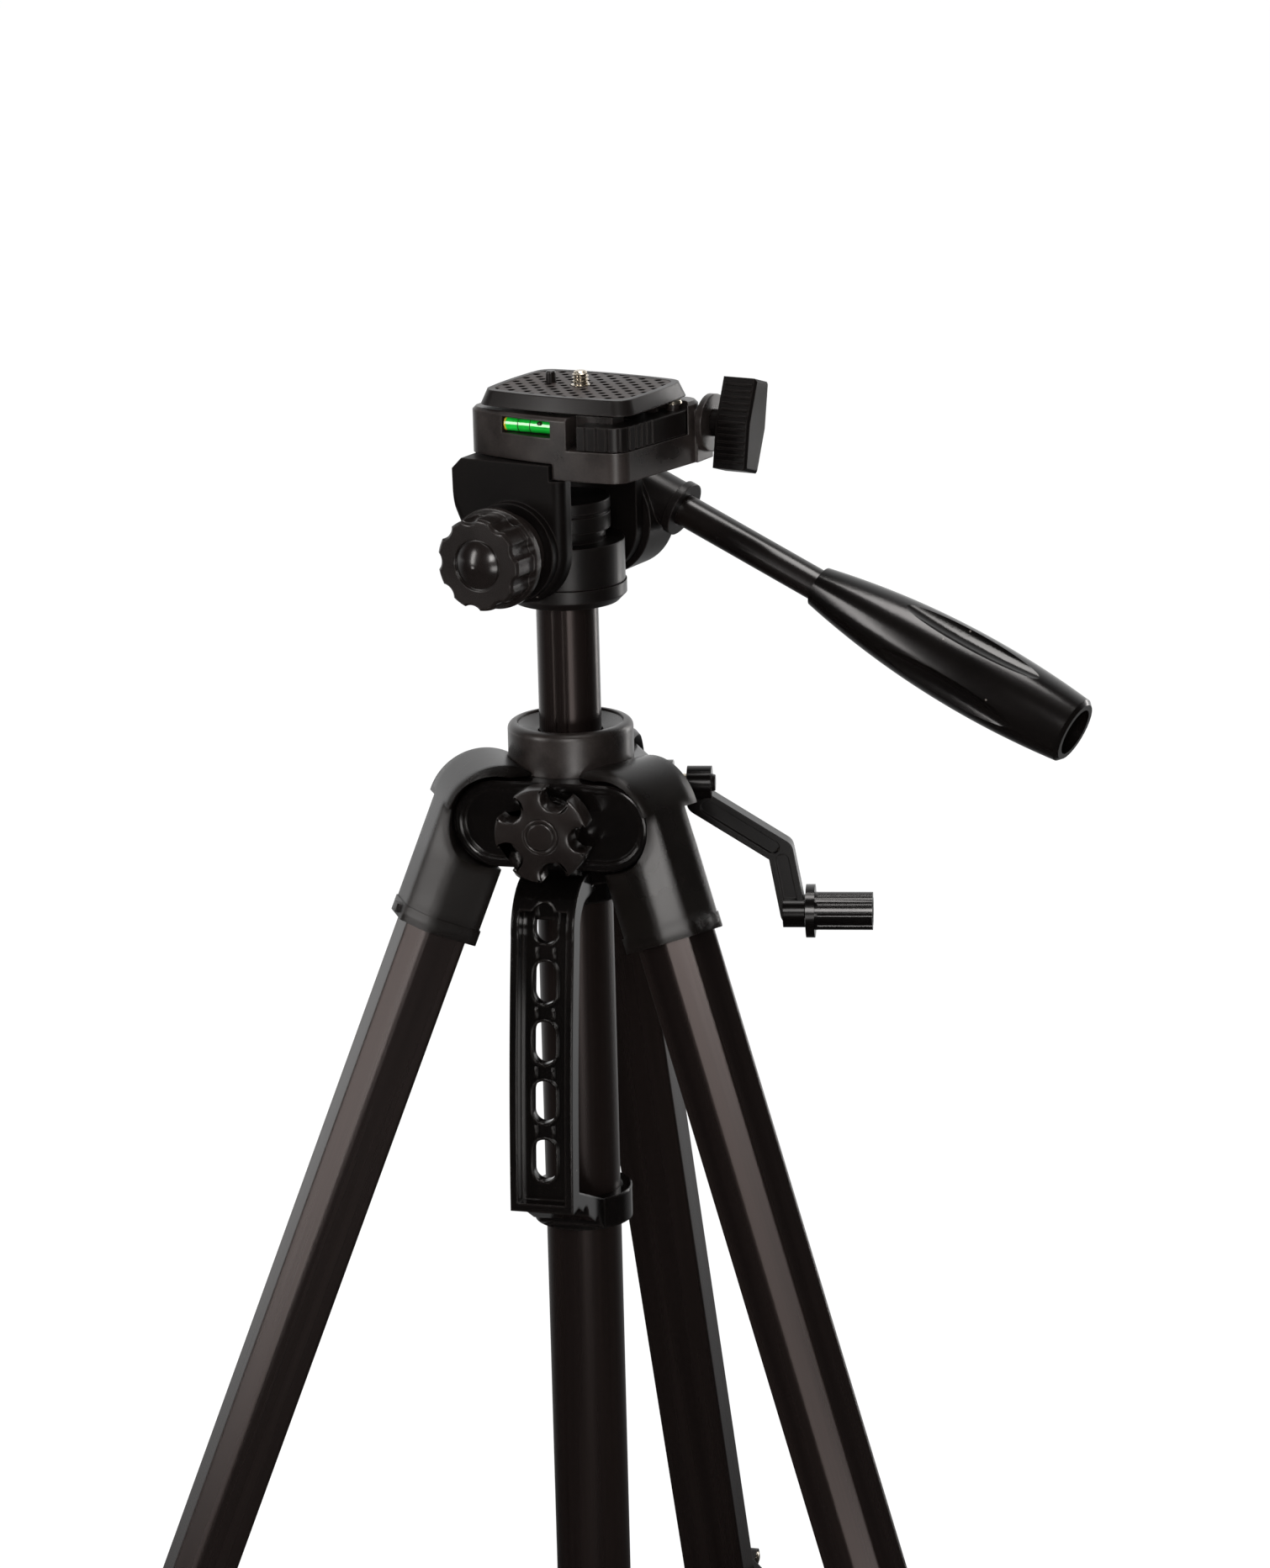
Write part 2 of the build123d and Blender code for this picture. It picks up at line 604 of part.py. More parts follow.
def clamp_lever(outer_inset, top, end):
    """Flip lever shut against the outer face of its clamp."""
    x, z = lever_pivot(outer_inset, top)
    inner = x - LEVER_EYE_RADIUS
    outer = inner + LEVER_THICKNESS
    half = LEVER_WIDTH / 2
    low = LEVER_TAIL - end
    paddle = make_face(Polyline(
        (inner, z), (inner, low + LEVER_SCOOP), (inner + LEVER_SCOOP_DEPTH, low), (outer + LEVER_LIP, low),
        (outer, low + LEVER_LIP_LENGTH), (x + LEVER_EYE_RADIUS, z), close=True))
    lever = extrude(Plane.XZ * paddle, half, both=True)
    lever = lever + rod(LEVER_EYE_RADIUS, (x, -half, z), (x, half, z))
    return lever - rod(LEVER_PIVOT_RADIUS + RUN_GAP, (x, -half - CUT, z), (x, half + CUT, z))


def brace_leg_pin():
    """Pin on the leg that the brace arm's slot rides on, as radius and height at rest, azimuth 0."""
    splay = radians(LEG_SPLAY)
    out = LEG_HINGE_INSET - BRACE_LEG_PIN_INSET
    radius = LEG_HINGE_RADIUS + out * cos(splay) + BRACE_LEG_PIN_DROP * sin(splay)
    return radius, HINGE_HEIGHT + out * sin(splay) - BRACE_LEG_PIN_DROP * cos(splay)


def upper_clamp():
    """Clamp on the upper tube, with the brace lug and its cross pin inside the leg."""
    body = clamp(0, MIDDLE_INSET, UPPER_CLAMP_TOP, UPPER_TUBE_END, UPPER_CLAMP_END)
    x, z = -BRACE_LEG_PIN_INSET, -BRACE_LEG_PIN_DROP
    half = BRACE_LUG_THICKNESS / 2
    lug = rod(BRACE_LUG_ROUND, (x, -half, z), (x, half, z))
    wall = -LEG_DEPTH / 2 - CLAMP_WALL / 2
    root = block((x, -half, z - BRACE_LUG_ROUND), (wall, half, z + BRACE_LUG_ROUND))
    reach = half + BRACE_ARM_GAP + BRACE_ARM_WALL + BRACE_PIN_HEAD
    return body + lug + root + rod(BRACE_PIN_RADIUS, (x, -reach, z), (x, reach, z))


def foot():
    """Rubber foot: grooved boot on the lower tube, with a sole that lies flat with the leg open."""
    outer = LOWER_INSET - FOOT_WALL
    boot = leg_bar(outer, FOOT_TOP, LEG_LENGTH + FOOT_SOLE)
    boot = boot - leg_bar(LOWER_INSET - SEAT_GAP, FOOT_TOP - CUT, LOWER_TUBE_END)
    for i in range(FOOT_GROOVES):
        top = FOOT_TOP + FOOT_GROOVE_DROP + i * FOOT_GROOVE_PITCH
        groove = leg_bar(outer - CUT, top, top + FOOT_GROOVE_WIDTH)
        boot = boot - (groove - leg_bar(outer + FOOT_GROOVE_DEPTH, top, top + FOOT_GROOVE_WIDTH))
    floor = Pos(0, 0, -FOOT_HEIGHT) * Box(4 * LEG_DEPTH, 3 * LEG_WIDTH, 2 * FOOT_HEIGHT)
    return boot - Pos(0, 0, -LEG_LENGTH) * Rot(0, LEG_SPLAY, 0) * floor


def make_legs():
    """The three legs, each of nine pieces."""
    cap = leg_cap()
    local = {
        "upper_tube": leg_tube(0, UPPER_TUBE_TOP, UPPER_TUBE_END),
        "upper_clamp": upper_clamp(),
        "upper_lever": clamp_lever(0, UPPER_CLAMP_TOP, UPPER_CLAMP_END),
        "middle_tube": leg_tube(MIDDLE_INSET, MIDDLE_TUBE_TOP, MIDDLE_TUBE_END),
        "middle_clamp": clamp(MIDDLE_INSET, LOWER_INSET, MIDDLE_CLAMP_TOP, MIDDLE_TUBE_END,
                              MIDDLE_CLAMP_END),
        "middle_lever": clamp_lever(MIDDLE_INSET, MIDDLE_CLAMP_TOP, MIDDLE_CLAMP_END),
        "lower_tube": leg_tube(LOWER_INSET, LOWER_TUBE_TOP, LOWER_TUBE_END),
        "foot": foot(),
    }
    for name, azimuth in LEG_AZIMUTHS.items():
        save(Rot(0, 0, azimuth) * cap, f"{name}_leg_cap")
        for piece, shape in local.items():
            save(leg_frame(azimuth) * shape, f"{name}_leg_{piece}")


# Shoulder

def pivot_pin(grow, half):
    """Leg hinge pin at azimuth 0, in the shoulder's frame, its radius grown by a clearance."""
    return rod(PIVOT_PIN_RADIUS + grow, (LEG_HINGE_RADIUS, -half, HINGE_ABOVE_DATUM),
               (LEG_HINGE_RADIUS, half, HINGE_ABOVE_DATUM))


def leg_pivot_pins():
    """The three leg hinge pins."""
    pin = pivot_pin(0, PIVOT_PIN_HALF)
    return Compound(children=[SHOULDER * Rot(0, 0, azimuth) * pin for azimuth in LEG_AZIMUTHS.values()])


def web(azimuth):
    """Rounded web of the shoulder facing away from the leg at an azimuth, with a rim round its face."""
    angle = radians(azimuth + 180)
    normal = Vector(cos(angle), sin(angle), 0)
    along = Vector(-sin(angle), cos(angle), 0)
    middle = Vector(0, 0, HINGE_ABOVE_DATUM)
    radius = WEB_HEIGHT / 2
    back = Plane(origin=normal * (WEB_FACE - WEB_THICKNESS) + middle, x_dir=along, z_dir=normal)
    body = extrude(back * SlotOverall(2 * (WEB_REACH + radius), WEB_HEIGHT), WEB_THICKNESS)
    floor = Plane(origin=normal * (WEB_FACE - WEB_RECESS) + middle, x_dir=along, z_dir=normal)
    recess = SlotOverall(2 * (WEB_REACH + radius - WEB_RIM), WEB_HEIGHT - 2 * WEB_RIM)
    return body - extrude(floor * recess, WEB_RECESS + CUT)


def spider_body():
    """Shoulder casting: hub, three rounded webs, guide-tube socket, lock boss and crank boss."""
    crank = SHOULDER.inverse() * CRANK
    level = HINGE_ABOVE_DATUM
    body = stack(HUB_RADIUS, HUB_BOTTOM, HUB_TOP) + stack(SOCKET_RADIUS, SOCKET_BOTTOM, HUB_BOTTOM)
    for azimuth in LEG_AZIMUTHS.values():
        body = body + web(azimuth)
    body = body + rod(STAR_NECK_RADIUS + STAR_BOSS_WALL, (0, -COLUMN_RADIUS, level), (0, -WEB_FACE, level))
    body = body + crank * rod(CRANK_BOSS_RADIUS, (CRANK_BOSS_START, 0, 0), (CRANK_BOSS_END, 0, 0))
    body = body - stack(COLUMN_RADIUS + RUN_GAP, SOCKET_BOTTOM - CUT, HUB_TOP + CUT)
    body = body - stack(GUIDE_RADIUS + SEAT_GAP, SOCKET_BOTTOM - CUT, GUIDE_TOP)
    body = body - rod(STAR_SCREW_RADIUS + RUN_GAP, (0, 0, level), (0, -WEB_FACE - CUT, level))
    inner = CRANK_SHAFT_INNER - PINION_ROOM
    shaft = rod(CRANK_SHAFT_RADIUS + RUN_GAP, (inner, 0, 0), (CRANK_BOSS_END + CUT, 0, 0))
    half = PINION_WIDTH / 2 + PINION_ROOM
    pocket = rod(PITCH_RADIUS + MODULE + PINION_ROOM, (-half, 0, 0), (half, 0, 0))
    body = body - crank * shaft - crank * pocket
    for azimuth in LEG_AZIMUTHS.values():
        body = body - Rot(0, 0, azimuth) * pivot_pin(SEAT_GAP, PIVOT_PIN_HALF + SEAT_GAP)
    return SHOULDER * body


def column_collar():
    """Round collar on the shoulder, with a funnel mouth round the column."""
    top = HUB_TOP + COLLAR_HEIGHT
    bore = COLUMN_RADIUS + FREE_GAP
    shape = turned([
        (bore, HUB_TOP), (COLLAR_RADIUS, HUB_TOP), (COLLAR_RADIUS, top), (COLLAR_MOUTH, top),
        (COLLAR_MOUTH - COLLAR_TAPER, HUB_TOP + COLLAR_WELL), (bore, HUB_TOP + COLLAR_FLOOR)])
    rims = shape.faces().sort_by(Axis.Z)[-1].edges().sort_by(SortBy.RADIUS)
    return SHOULDER * fillet(rims[-1], COLLAR_ROUND)


def guide_tube():
    """Outer tube under the shoulder that guides the column and carries the brace."""
    return SHOULDER * ring(GUIDE_RADIUS, GUIDE_RADIUS - GUIDE_WALL, GUIDE_BOTTOM, GUIDE_TOP)


def tube_end_cap():
    """Cap on the guide tube's end, which also stops the brace hub."""
    cap = stack(END_CAP_RADIUS, GUIDE_BOTTOM - END_CAP_FLOOR, GUIDE_BOTTOM + END_CAP_HEIGHT)
    cap = cap - stack(GUIDE_RADIUS + SEAT_GAP, GUIDE_BOTTOM, GUIDE_BOTTOM + END_CAP_HEIGHT + CUT)
    return SHOULDER * chamfer(cap.faces().sort_by(Axis.Z)[0].edges(), END_CAP_EDGE)


def rack_gap(pitch):
    """Space between two rack teeth, with X outwards from the column's axis."""
    lean = tan(radians(FLANK_ANGLE))
    half_pitch = pitch / 4 + TOOTH_BACKLASH / 2
    tip = RACK_TIP + CUT
    half_tip = half_pitch + (tip - RACK_PITCH_LINE) * lean
    half_root = half_pitch + (RACK_ROOT - RACK_PITCH_LINE) * lean
    gap = make_face(Polyline(
        (RACK_ROOT, -half_root), (tip, -half_tip), (tip, half_tip), (RACK_ROOT, half_root), close=True))
    return extrude(Plane.XZ * gap, RACK_WIDTH / 2, both=True)


def centre_column():
    """Extruded column with a keyed strip in front and a rack cut flush at the rear."""
    wall = COLUMN_RADIUS - COLUMN_WALL
    rack = Rot(0, 0, CRANK_AZIMUTH + 90)
    side = RACK_WIDTH / 2 + RACK_SIDE
    backing = area((RACK_ROOT - RACK_BACKING, -side), (COLUMN_RADIUS, side))
    section = Circle(COLUMN_RADIUS) - (Circle(wall) - rack * backing)
    for side in (1, -1):
        groove = Rectangle(KEY_GROOVE, 2 * KEY_GROOVE)
        section = section - Pos(side * KEY_WIDTH / 2, -COLUMN_RADIUS) * groove
    column = Pos(0, 0, COLUMN_BOTTOM) * extrude(section, COLUMN_TOP - COLUMN_BOTTOM)
    pitch = pi * MODULE
    below = int((COLUMN_RISE + RACK_SPARE) / pitch) + 1
    above = int((COLUMN_DROP + RACK_SPARE) / pitch) + 1
    flat = block((RACK_TIP, -RACK_WIDTH / 2, CRANK_HEIGHT - (below + 0.5) * pitch),
                 (COLUMN_RADIUS + CUT, RACK_WIDTH / 2, CRANK_HEIGHT + (above + 0.5) * pitch))
    gaps = [rack * Pos(0, 0, CRANK_HEIGHT + i * pitch) * rack_gap(pitch) for i in range(-below, above + 1)]
    return SHOULDER * (column - rack * flat - gaps)


def column_end_bush():
    """Bush on the column's lower end that runs in the guide tube."""
    outer = GUIDE_RADIUS - GUIDE_WALL - RUN_GAP
    return SHOULDER * ring(outer, outer - BUSH_WALL, COLUMN_BOTTOM - BUSH_LENGTH, COLUMN_BOTTOM)


# Rack drive and crank

def pinion():
    """Pinion along X with straight-sided teeth, one tooth pointing at the rack."""
    tip = PITCH_RADIUS + PINION_ADDENDUM * MODULE
    root = PITCH_RADIUS - RACK_ADDENDUM * MODULE - ROOT_CLEARANCE
    half_pitch = pi * MODULE / 4 - TOOTH_BACKLASH / 2
    lean = tan(radians(FLANK_ANGLE))
    half_tip = half_pitch - (tip - PITCH_RADIUS) * lean * TOOTH_TIP_EASE
    half_root = half_pitch + (PITCH_RADIUS - root) * lean * TOOTH_ROOT_EASE
    tooth = make_face(Polyline((0, -half_root), (root, -half_root), (PITCH_RADIUS, -half_pitch),
                               (tip, -half_tip), (tip, half_tip), (PITCH_RADIUS, half_pitch),
                               (root, half_root), (0, half_root), close=True))
    star = Circle(root)
    for i in range(PINION_TEETH):
        star = star + Rot(0, 0, 180 + i * 360 / PINION_TEETH) * tooth
    return Plane.YZ * Pos(0, 0, -PINION_WIDTH / 2) * extrude(star, PINION_WIDTH)


def crank_square(grow, start):
    """Square drive between shaft and crank, grown by a clearance."""
    half = CRANK_SQUARE / 2 + grow
    return block((start, -half, -half), (CRANK_SQUARE_END + grow, half, half))


def crank_shaft():
    """Pinion on its shaft, with a square end for the crank."""
    shaft = rod(CRANK_SHAFT_RADIUS, (CRANK_SHAFT_INNER, 0, 0), (CRANK_HUB_START - FREE_GAP, 0, 0))
    return CRANK * (pinion() + shaft + crank_square(0, CRANK_BOSS_END))


def crank_runs(width, trim):
    """Plan of the crank's straight runs, as round-ended bars shortened by trim."""
    middle = (CRANK_HUB_START + CRANK_HUB_END) / 2
    corners = ((middle, 0), (middle, -CRANK_KNEE_DROP), (CRANK_ELBOW_REACH, -CRANK_ELBOW_DROP),
               (CRANK_FOOT, -CRANK_THROW))
    plan = Sketch()
    for a, b in zip(corners, corners[1:]):
        length = hypot(b[0] - a[0], b[1] - a[1])
        angle = degrees(atan2(b[1] - a[1], b[0] - a[0]))
        bar = Rot(0, 0, angle) * SlotOverall(length + width - trim, width)
        plan = plan + Pos((a[0] + b[0]) / 2, (a[1] + b[1]) / 2) * bar
    return plan


def crank_arm():
    """Cranked arm: hub, slanting run to the elbow, straight run down and the pin for the grip."""
    half = CRANK_ARM_DEPTH / 2
    arm = extrude(Plane.XZ * crank_runs(CRANK_ARM_WIDTH, 0), half, both=True)
    plan = crank_runs(CRANK_ARM_WIDTH - 2 * CRANK_RIM, CRANK_KNEE_DROP)
    groove = extrude(Plane.XZ * plan, CRANK_GROOVE, both=True)
    for side in (1, -1):
        arm = arm - Pos(0, side * half, 0) * groove
    arm = arm + rod(CRANK_HUB_RADIUS, (CRANK_HUB_START, 0, 0), (CRANK_HUB_END, 0, 0))
    foot_x, z = CRANK_FOOT, -CRANK_THROW
    arm = arm + rod(CRANK_PAD_RADIUS, (foot_x - half, 0, z), (CRANK_GRIP_START - FREE_GAP, 0, z))
    arm = arm + rod(CRANK_PIN_RADIUS, (foot_x, 0, z), (CRANK_GRIP_END - CRANK_GRIP_CUP, 0, z))
    return CRANK * (arm - crank_square(SEAT_GAP, CRANK_HUB_START - CUT))


def crank_grip():
    """Ribbed grip that spins on the crank's pin."""
    start, end = CRANK_GRIP_START, CRANK_GRIP_END
    flange_end = start + CRANK_FLANGE_WIDTH
    grip = rod(CRANK_GRIP_RADIUS, (start, 0, 0), (end, 0, 0))
    grip = grip + rod(CRANK_FLANGE_RADIUS, (start, 0, 0), (flange_end, 0, 0))
    for i in range(GRIP_RIBS):
        angle = 2 * pi * i / GRIP_RIBS
        y, z = CRANK_GRIP_RADIUS * cos(angle), CRANK_GRIP_RADIUS * sin(angle)
        grip = grip - rod(GRIP_RIB_RADIUS, (flange_end + CUT, y, z), (end + CUT, y, z))
    grip = grip - rod(CRANK_PIN_RADIUS + RUN_GAP, (start - CUT, 0, 0), (end + CUT, 0, 0))
    grip = grip - rod(CRANK_GRIP_RADIUS - CRANK_GRIP_WALL, (end - CRANK_GRIP_CUP, 0, 0), (end + CUT, 0, 0))
    return CRANK * Pos(0, 0, -CRANK_THROW) * grip


def column_lock_knob():
    """Star knob whose screw presses on the column's keyed strip."""
    outline = star_outline(STAR_RADIUS, STAR_LOBES, STAR_NOTCH, STAR_NOTCH_DEPTH)
    outline = Rot(0, 0, STAR_TURN) * fillet(outline.vertices(), STAR_CORNER)
    back = STAR_FACE - STAR_THICKNESS
    head = Plane.XZ * Pos(0, 0, back) * extrude(outline, STAR_THICKNESS)
    outer = STAR_BUTTON_RADIUS + STAR_GROOVE_WIDTH
    groove = ring(outer, STAR_BUTTON_RADIUS, STAR_FACE - STAR_GROOVE_DEPTH, STAR_FACE + CUT)
    head = head - Plane.XZ.location * groove
    neck = rod(STAR_NECK_RADIUS, (0, -back - FREE_GAP, 0), (0, -WEB_FACE - FREE_GAP, 0))
    screw = rod(STAR_SCREW_RADIUS, (0, -back - FREE_GAP, 0), (0, -COLUMN_RADIUS - FREE_GAP, 0))
    return SHOULDER * Pos(0, 0, HINGE_ABOVE_DATUM) * (head + neck + screw)


# Carry handle

def strap_side(front, back):
    """Side outline of the handle's strap between two depths behind its front face."""
    x, z = HANDLE_BEND - HANDLE_SHOULDER, HANDLE_TOP - HANDLE_BEND
    middle = (z + HANDLE_BOTTOM) / 2
    root = -COLUMN_RADIUS

    def bend(depth, angle):
        radius = HANDLE_BEND - depth
        return x - radius * sin(radians(angle)), z + radius * cos(radians(angle))

    foot_front, foot_back = front - HANDLE_FOOT, back - HANDLE_FOOT
    return make_face([
        Line((root, HANDLE_TOP - front), bend(front, 0)),
        ThreePointArc(bend(front, 0), bend(front, 45), bend(front, 90)),
        ThreePointArc(bend(front, 90), (front - HANDLE_BOW, middle), (foot_front, HANDLE_BOTTOM)),
        Line((foot_front, HANDLE_BOTTOM), (foot_back, HANDLE_BOTTOM)),
        ThreePointArc((foot_back, HANDLE_BOTTOM), (back - HANDLE_BOW, middle), bend(back, 90)),
        ThreePointArc(bend(back, 90), bend(back, 45), bend(back, 0)),
        Line(bend(back, 0), (root, HANDLE_TOP - back)),
        Line((root, HANDLE_TOP - back), (root, HANDLE_TOP - front)),
    ])


def handle_strap():
    """Strap of the handle: a channel between two rims, with slots through its floor."""
    half = HANDLE_WIDTH / 2
    strap = extrude(Plane.YZ * strap_side(0, HANDLE_DEPTH), half, both=True)
    strap = strap - stack(HUB_RADIUS + SEAT_GAP, HUB_BOTTOM, HANDLE_TOP + CUT)
    strap = strap - stack(SOCKET_RADIUS + SEAT_GAP, SOCKET_BOTTOM, HUB_BOTTOM)
    channel = extrude(Plane.YZ * strap_side(-CUT, HANDLE_CHANNEL), half - HANDLE_RIM, both=True)
    reach = max(HANDLE_SHOULDER, HANDLE_BOW, HANDLE_FOOT) + CUT
    low, high = HANDLE_BOTTOM + HANDLE_RIM, HANDLE_TOP - HANDLE_BEND / 2
    channel = channel & block((-half, -reach - CUT, low), (half, 0, high))
    slots = Sketch()
    for i in range(HANDLE_SLOTS):
        height = HANDLE_BOTTOM + HANDLE_LAST_SLOT + i * HANDLE_SLOT_PITCH
        slots = slots + Pos(0, height) * Rot(0, 0, 90) * SlotOverall(HANDLE_SLOT_LENGTH, HANDLE_SLOT_WIDTH)
    start = min(HANDLE_SHOULDER, HANDLE_BOW, HANDLE_FOOT) - HANDLE_DEPTH - CUT
    return strap - channel - Plane.XZ * Pos(0, 0, start) * extrude(slots, reach - start)


def carry_handle():
    """Slotted carry handle in front of the guide tube, clasping it with a ring below its foot."""
    half = HANDLE_WIDTH / 2
    top = HANDLE_BOTTOM - CLASP_DROP
    low = top - CLASP_HEIGHT
    start = HANDLE_DEPTH - HANDLE_FOOT - CUT
    bridge = make_face(Polyline(
        (start, HANDLE_BOTTOM), (-GUIDE_RADIUS, low), (0, low), (0, top), (-GUIDE_RADIUS, top),
        (start, HANDLE_BOTTOM + CLASP_BRIDGE), close=True))
    clasp = stack(GUIDE_RADIUS + CLASP_WALL, low, top) + extrude(Plane.YZ * bridge, half, both=True)
    clasp = clasp - stack(GUIDE_RADIUS + SEAT_GAP, low - CUT, HANDLE_BOTTOM)
    for share in CLASP_SCALLOPS:
        y = start - (GUIDE_RADIUS + start) * share
        z = HANDLE_BOTTOM + (low - HANDLE_BOTTOM) * share - CLASP_SCALLOP_DROP
        clasp = clasp - rod(CLASP_SCALLOP, (-half - CUT, y, z), (half + CUT, y, z))
    return SHOULDER * (handle_strap() + clasp)


# Brace

def brace_arm_line():
    """Rest length and slope of a brace arm, from the hub's pivot to the leg's pin."""
    radius, height = brace_leg_pin()
    out, up = radius - BRACE_PIVOT_RADIUS, height - DATUM - BRACE_HUB_HEIGHT
    return hypot(out, up), degrees(atan2(up, out))


def hub_bar(radius, start, end):
    """Round bar on the hub pivot of the arm at azimuth 0, between two places across it."""
    x, z = BRACE_PIVOT_RADIUS, BRACE_HUB_HEIGHT
    return rod(radius, (x, start, z), (x, end, z))


def brace_hub():
    """Sliding hub on the guide tube, with a lug for each arm."""
    top = BRACE_HUB_HEIGHT + BRACE_HUB_HALF
    bottom = BRACE_HUB_HEIGHT - BRACE_HUB_HALF
    hub = stack(BRACE_HUB_RADIUS, bottom, top)
    half = BRACE_LUG_THICKNESS / 2
    lug = block((GUIDE_RADIUS, -half, BRACE_HUB_HEIGHT - BRACE_LUG_ROUND),
                (BRACE_PIVOT_RADIUS, half, BRACE_HUB_HEIGHT + BRACE_LUG_ROUND))
    lug = lug + hub_bar(BRACE_LUG_ROUND, -half, half)
    lug = lug - hub_bar(BRACE_PIN_RADIUS + SEAT_GAP, -half - CUT, half + CUT)
    for azimuth in LEG_AZIMUTHS.values():
        hub = hub + Rot(0, 0, azimuth) * lug
    return SHOULDER * (hub - stack(GUIDE_RADIUS + RUN_GAP, bottom - CUT, top + CUT))


def brace_hub_pins():
    """Rivets through the hub's lugs."""
    reach = BRACE_LUG_THICKNESS / 2 + BRACE_ARM_GAP + BRACE_ARM_WALL + FREE_GAP
    head = reach + BRACE_RIVET_HEAD
    pin = hub_bar(BRACE_PIN_RADIUS, -head, head)
    pin = pin + hub_bar(BRACE_RIVET_RADIUS, reach, head) + hub_bar(BRACE_RIVET_RADIUS, -head, -reach)
    return Compound(children=[SHOULDER * Rot(0, 0, azimuth) * pin for azimuth in LEG_AZIMUTHS.values()])


def brace_arm(azimuth):
    """Channel-shaped arm, pivoted on the hub and slotted over the leg's pin."""
    length, slope = brace_arm_line()
    half = BRACE_ARM_HEIGHT / 2
    inside = BRACE_LUG_THICKNESS / 2 + BRACE_ARM_GAP
    tip = length + BRACE_SLOT_SLACK
    travel = BRACE_SLOT_TRAVEL + BRACE_SLOT_SPARE
    side = Pos(tip / 2, 0) * SlotCenterToCenter(tip, BRACE_ARM_HEIGHT)
    side = side - Circle(BRACE_PIN_RADIUS + RUN_GAP)
    slot = SlotCenterToCenter(travel, 2 * (BRACE_PIN_RADIUS + BRACE_SLOT_SLACK))
    side = side - Pos(tip - travel / 2, 0) * slot
    plate = extrude(Plane.XZ * side, BRACE_ARM_WALL)
    walls = Pos(0, -inside, 0) * plate + Pos(0, inside + BRACE_ARM_WALL, 0) * plate
    channel = block((BRACE_WEB_START, -inside - SEAT_GAP, half - BRACE_ARM_WALL),
                    (tip - travel - BRACE_WEB_END, inside + SEAT_GAP, half))
    place = SHOULDER * Rot(0, 0, azimuth) * Pos(BRACE_PIVOT_RADIUS, 0, BRACE_HUB_HEIGHT) * Rot(0, -slope, 0)
    return place * (walls + channel)


# Pan head

def tilt_bar(radius, start, end):
    """Round bar on the tilt axis between two places across the head."""
    return rod(radius, (TILT_X, start, TILT_HEIGHT), (TILT_X, end, TILT_HEIGHT))


def hinge_bar(radius, start, end):
    """Round bar on the flip hinge's axis between two places along the head."""
    return rod(radius, (start, HINGE_Y, HINGE_Z), (end, HINGE_Y, HINGE_Z))


def pan_base():
    """Round base fixed on the column, with the spigot that the head turns on."""
    seam = PAN_SEAM - PAN_SEAM_GAP
    base = turned([
        (0, PAN_BASE_BOTTOM), (PAN_BASE_RADIUS - PAN_BASE_EDGE, PAN_BASE_BOTTOM),
        (PAN_BASE_RADIUS, PAN_BASE_BOTTOM + PAN_BASE_EDGE), (PAN_BASE_RADIUS, seam),
        (PAN_SPIGOT_RADIUS, seam), (PAN_SPIGOT_RADIUS, PAN_SPIGOT_TOP), (0, PAN_SPIGOT_TOP)])
    return SHOULDER * (base - stack(COLUMN_RADIUS + SEAT_GAP, PAN_BASE_BOTTOM - CUT, COLUMN_TOP))


def pan_housing():
    """Turning body of the head, with the grooved neck and the cross hole for the tilt axle."""
    waist = NECK_RADIUS - NECK_WAIST
    floor = NECK_RADIUS - NECK_GROOVE
    low = PAN_TOP + NECK_WAIST_HEIGHT
    groove = low + NECK_BAND
    band = groove + NECK_GROOVE_WIDTH
    top = PAN_TOP + NECK_HEIGHT
    body = turned([
        (0, PAN_SEAM), (PAN_RADIUS, PAN_SEAM), (PAN_RADIUS, PAN_TOP), (waist, PAN_TOP), (waist, low),
        (NECK_RADIUS, low), (NECK_RADIUS, groove), (floor, groove), (floor, band),
        (NECK_RADIUS, band), (NECK_RADIUS, top), (0, top)])
    body = body - stack(PAN_SPIGOT_RADIUS + RUN_GAP, PAN_SEAM - CUT, PAN_SPIGOT_TOP + FREE_GAP)
    return HEAD * (body - tilt_bar(TILT_AXLE_RADIUS + RUN_GAP, -CHEEK_INNER, CHEEK_INNER))


def cheek():
    """Near cheek of the tilt bracket: round below, drawn in at the back, its outer edge rounded."""
    waist = BRACKET_TOP - CHEEK_WAIST_DROP
    flank = make_face(Polyline(
        (TILT_X - CHEEK_ROUND, TILT_HEIGHT), (CHEEK_BACK + CHEEK_WAIST, waist),
        (CHEEK_BACK, BRACKET_TOP - CHEEK_CORNER), (CHEEK_BACK + CHEEK_CORNER, BRACKET_TOP),
        (CHEEK_FRONT, BRACKET_TOP), (CHEEK_FRONT, TILT_HEIGHT), close=True))
    outline = flank + Pos(TILT_X, TILT_HEIGHT) * Circle(CHEEK_ROUND)
    body = Pos(0, -CHEEK_INNER, 0) * extrude(Plane.XZ * outline, CHEEK_THICKNESS)
    edges = body.faces().sort_by(Axis.Y)[0].edges().filter_by(lambda edge: edge.center().Z < waist)
    return fillet(edges, CHEEK_EDGE)


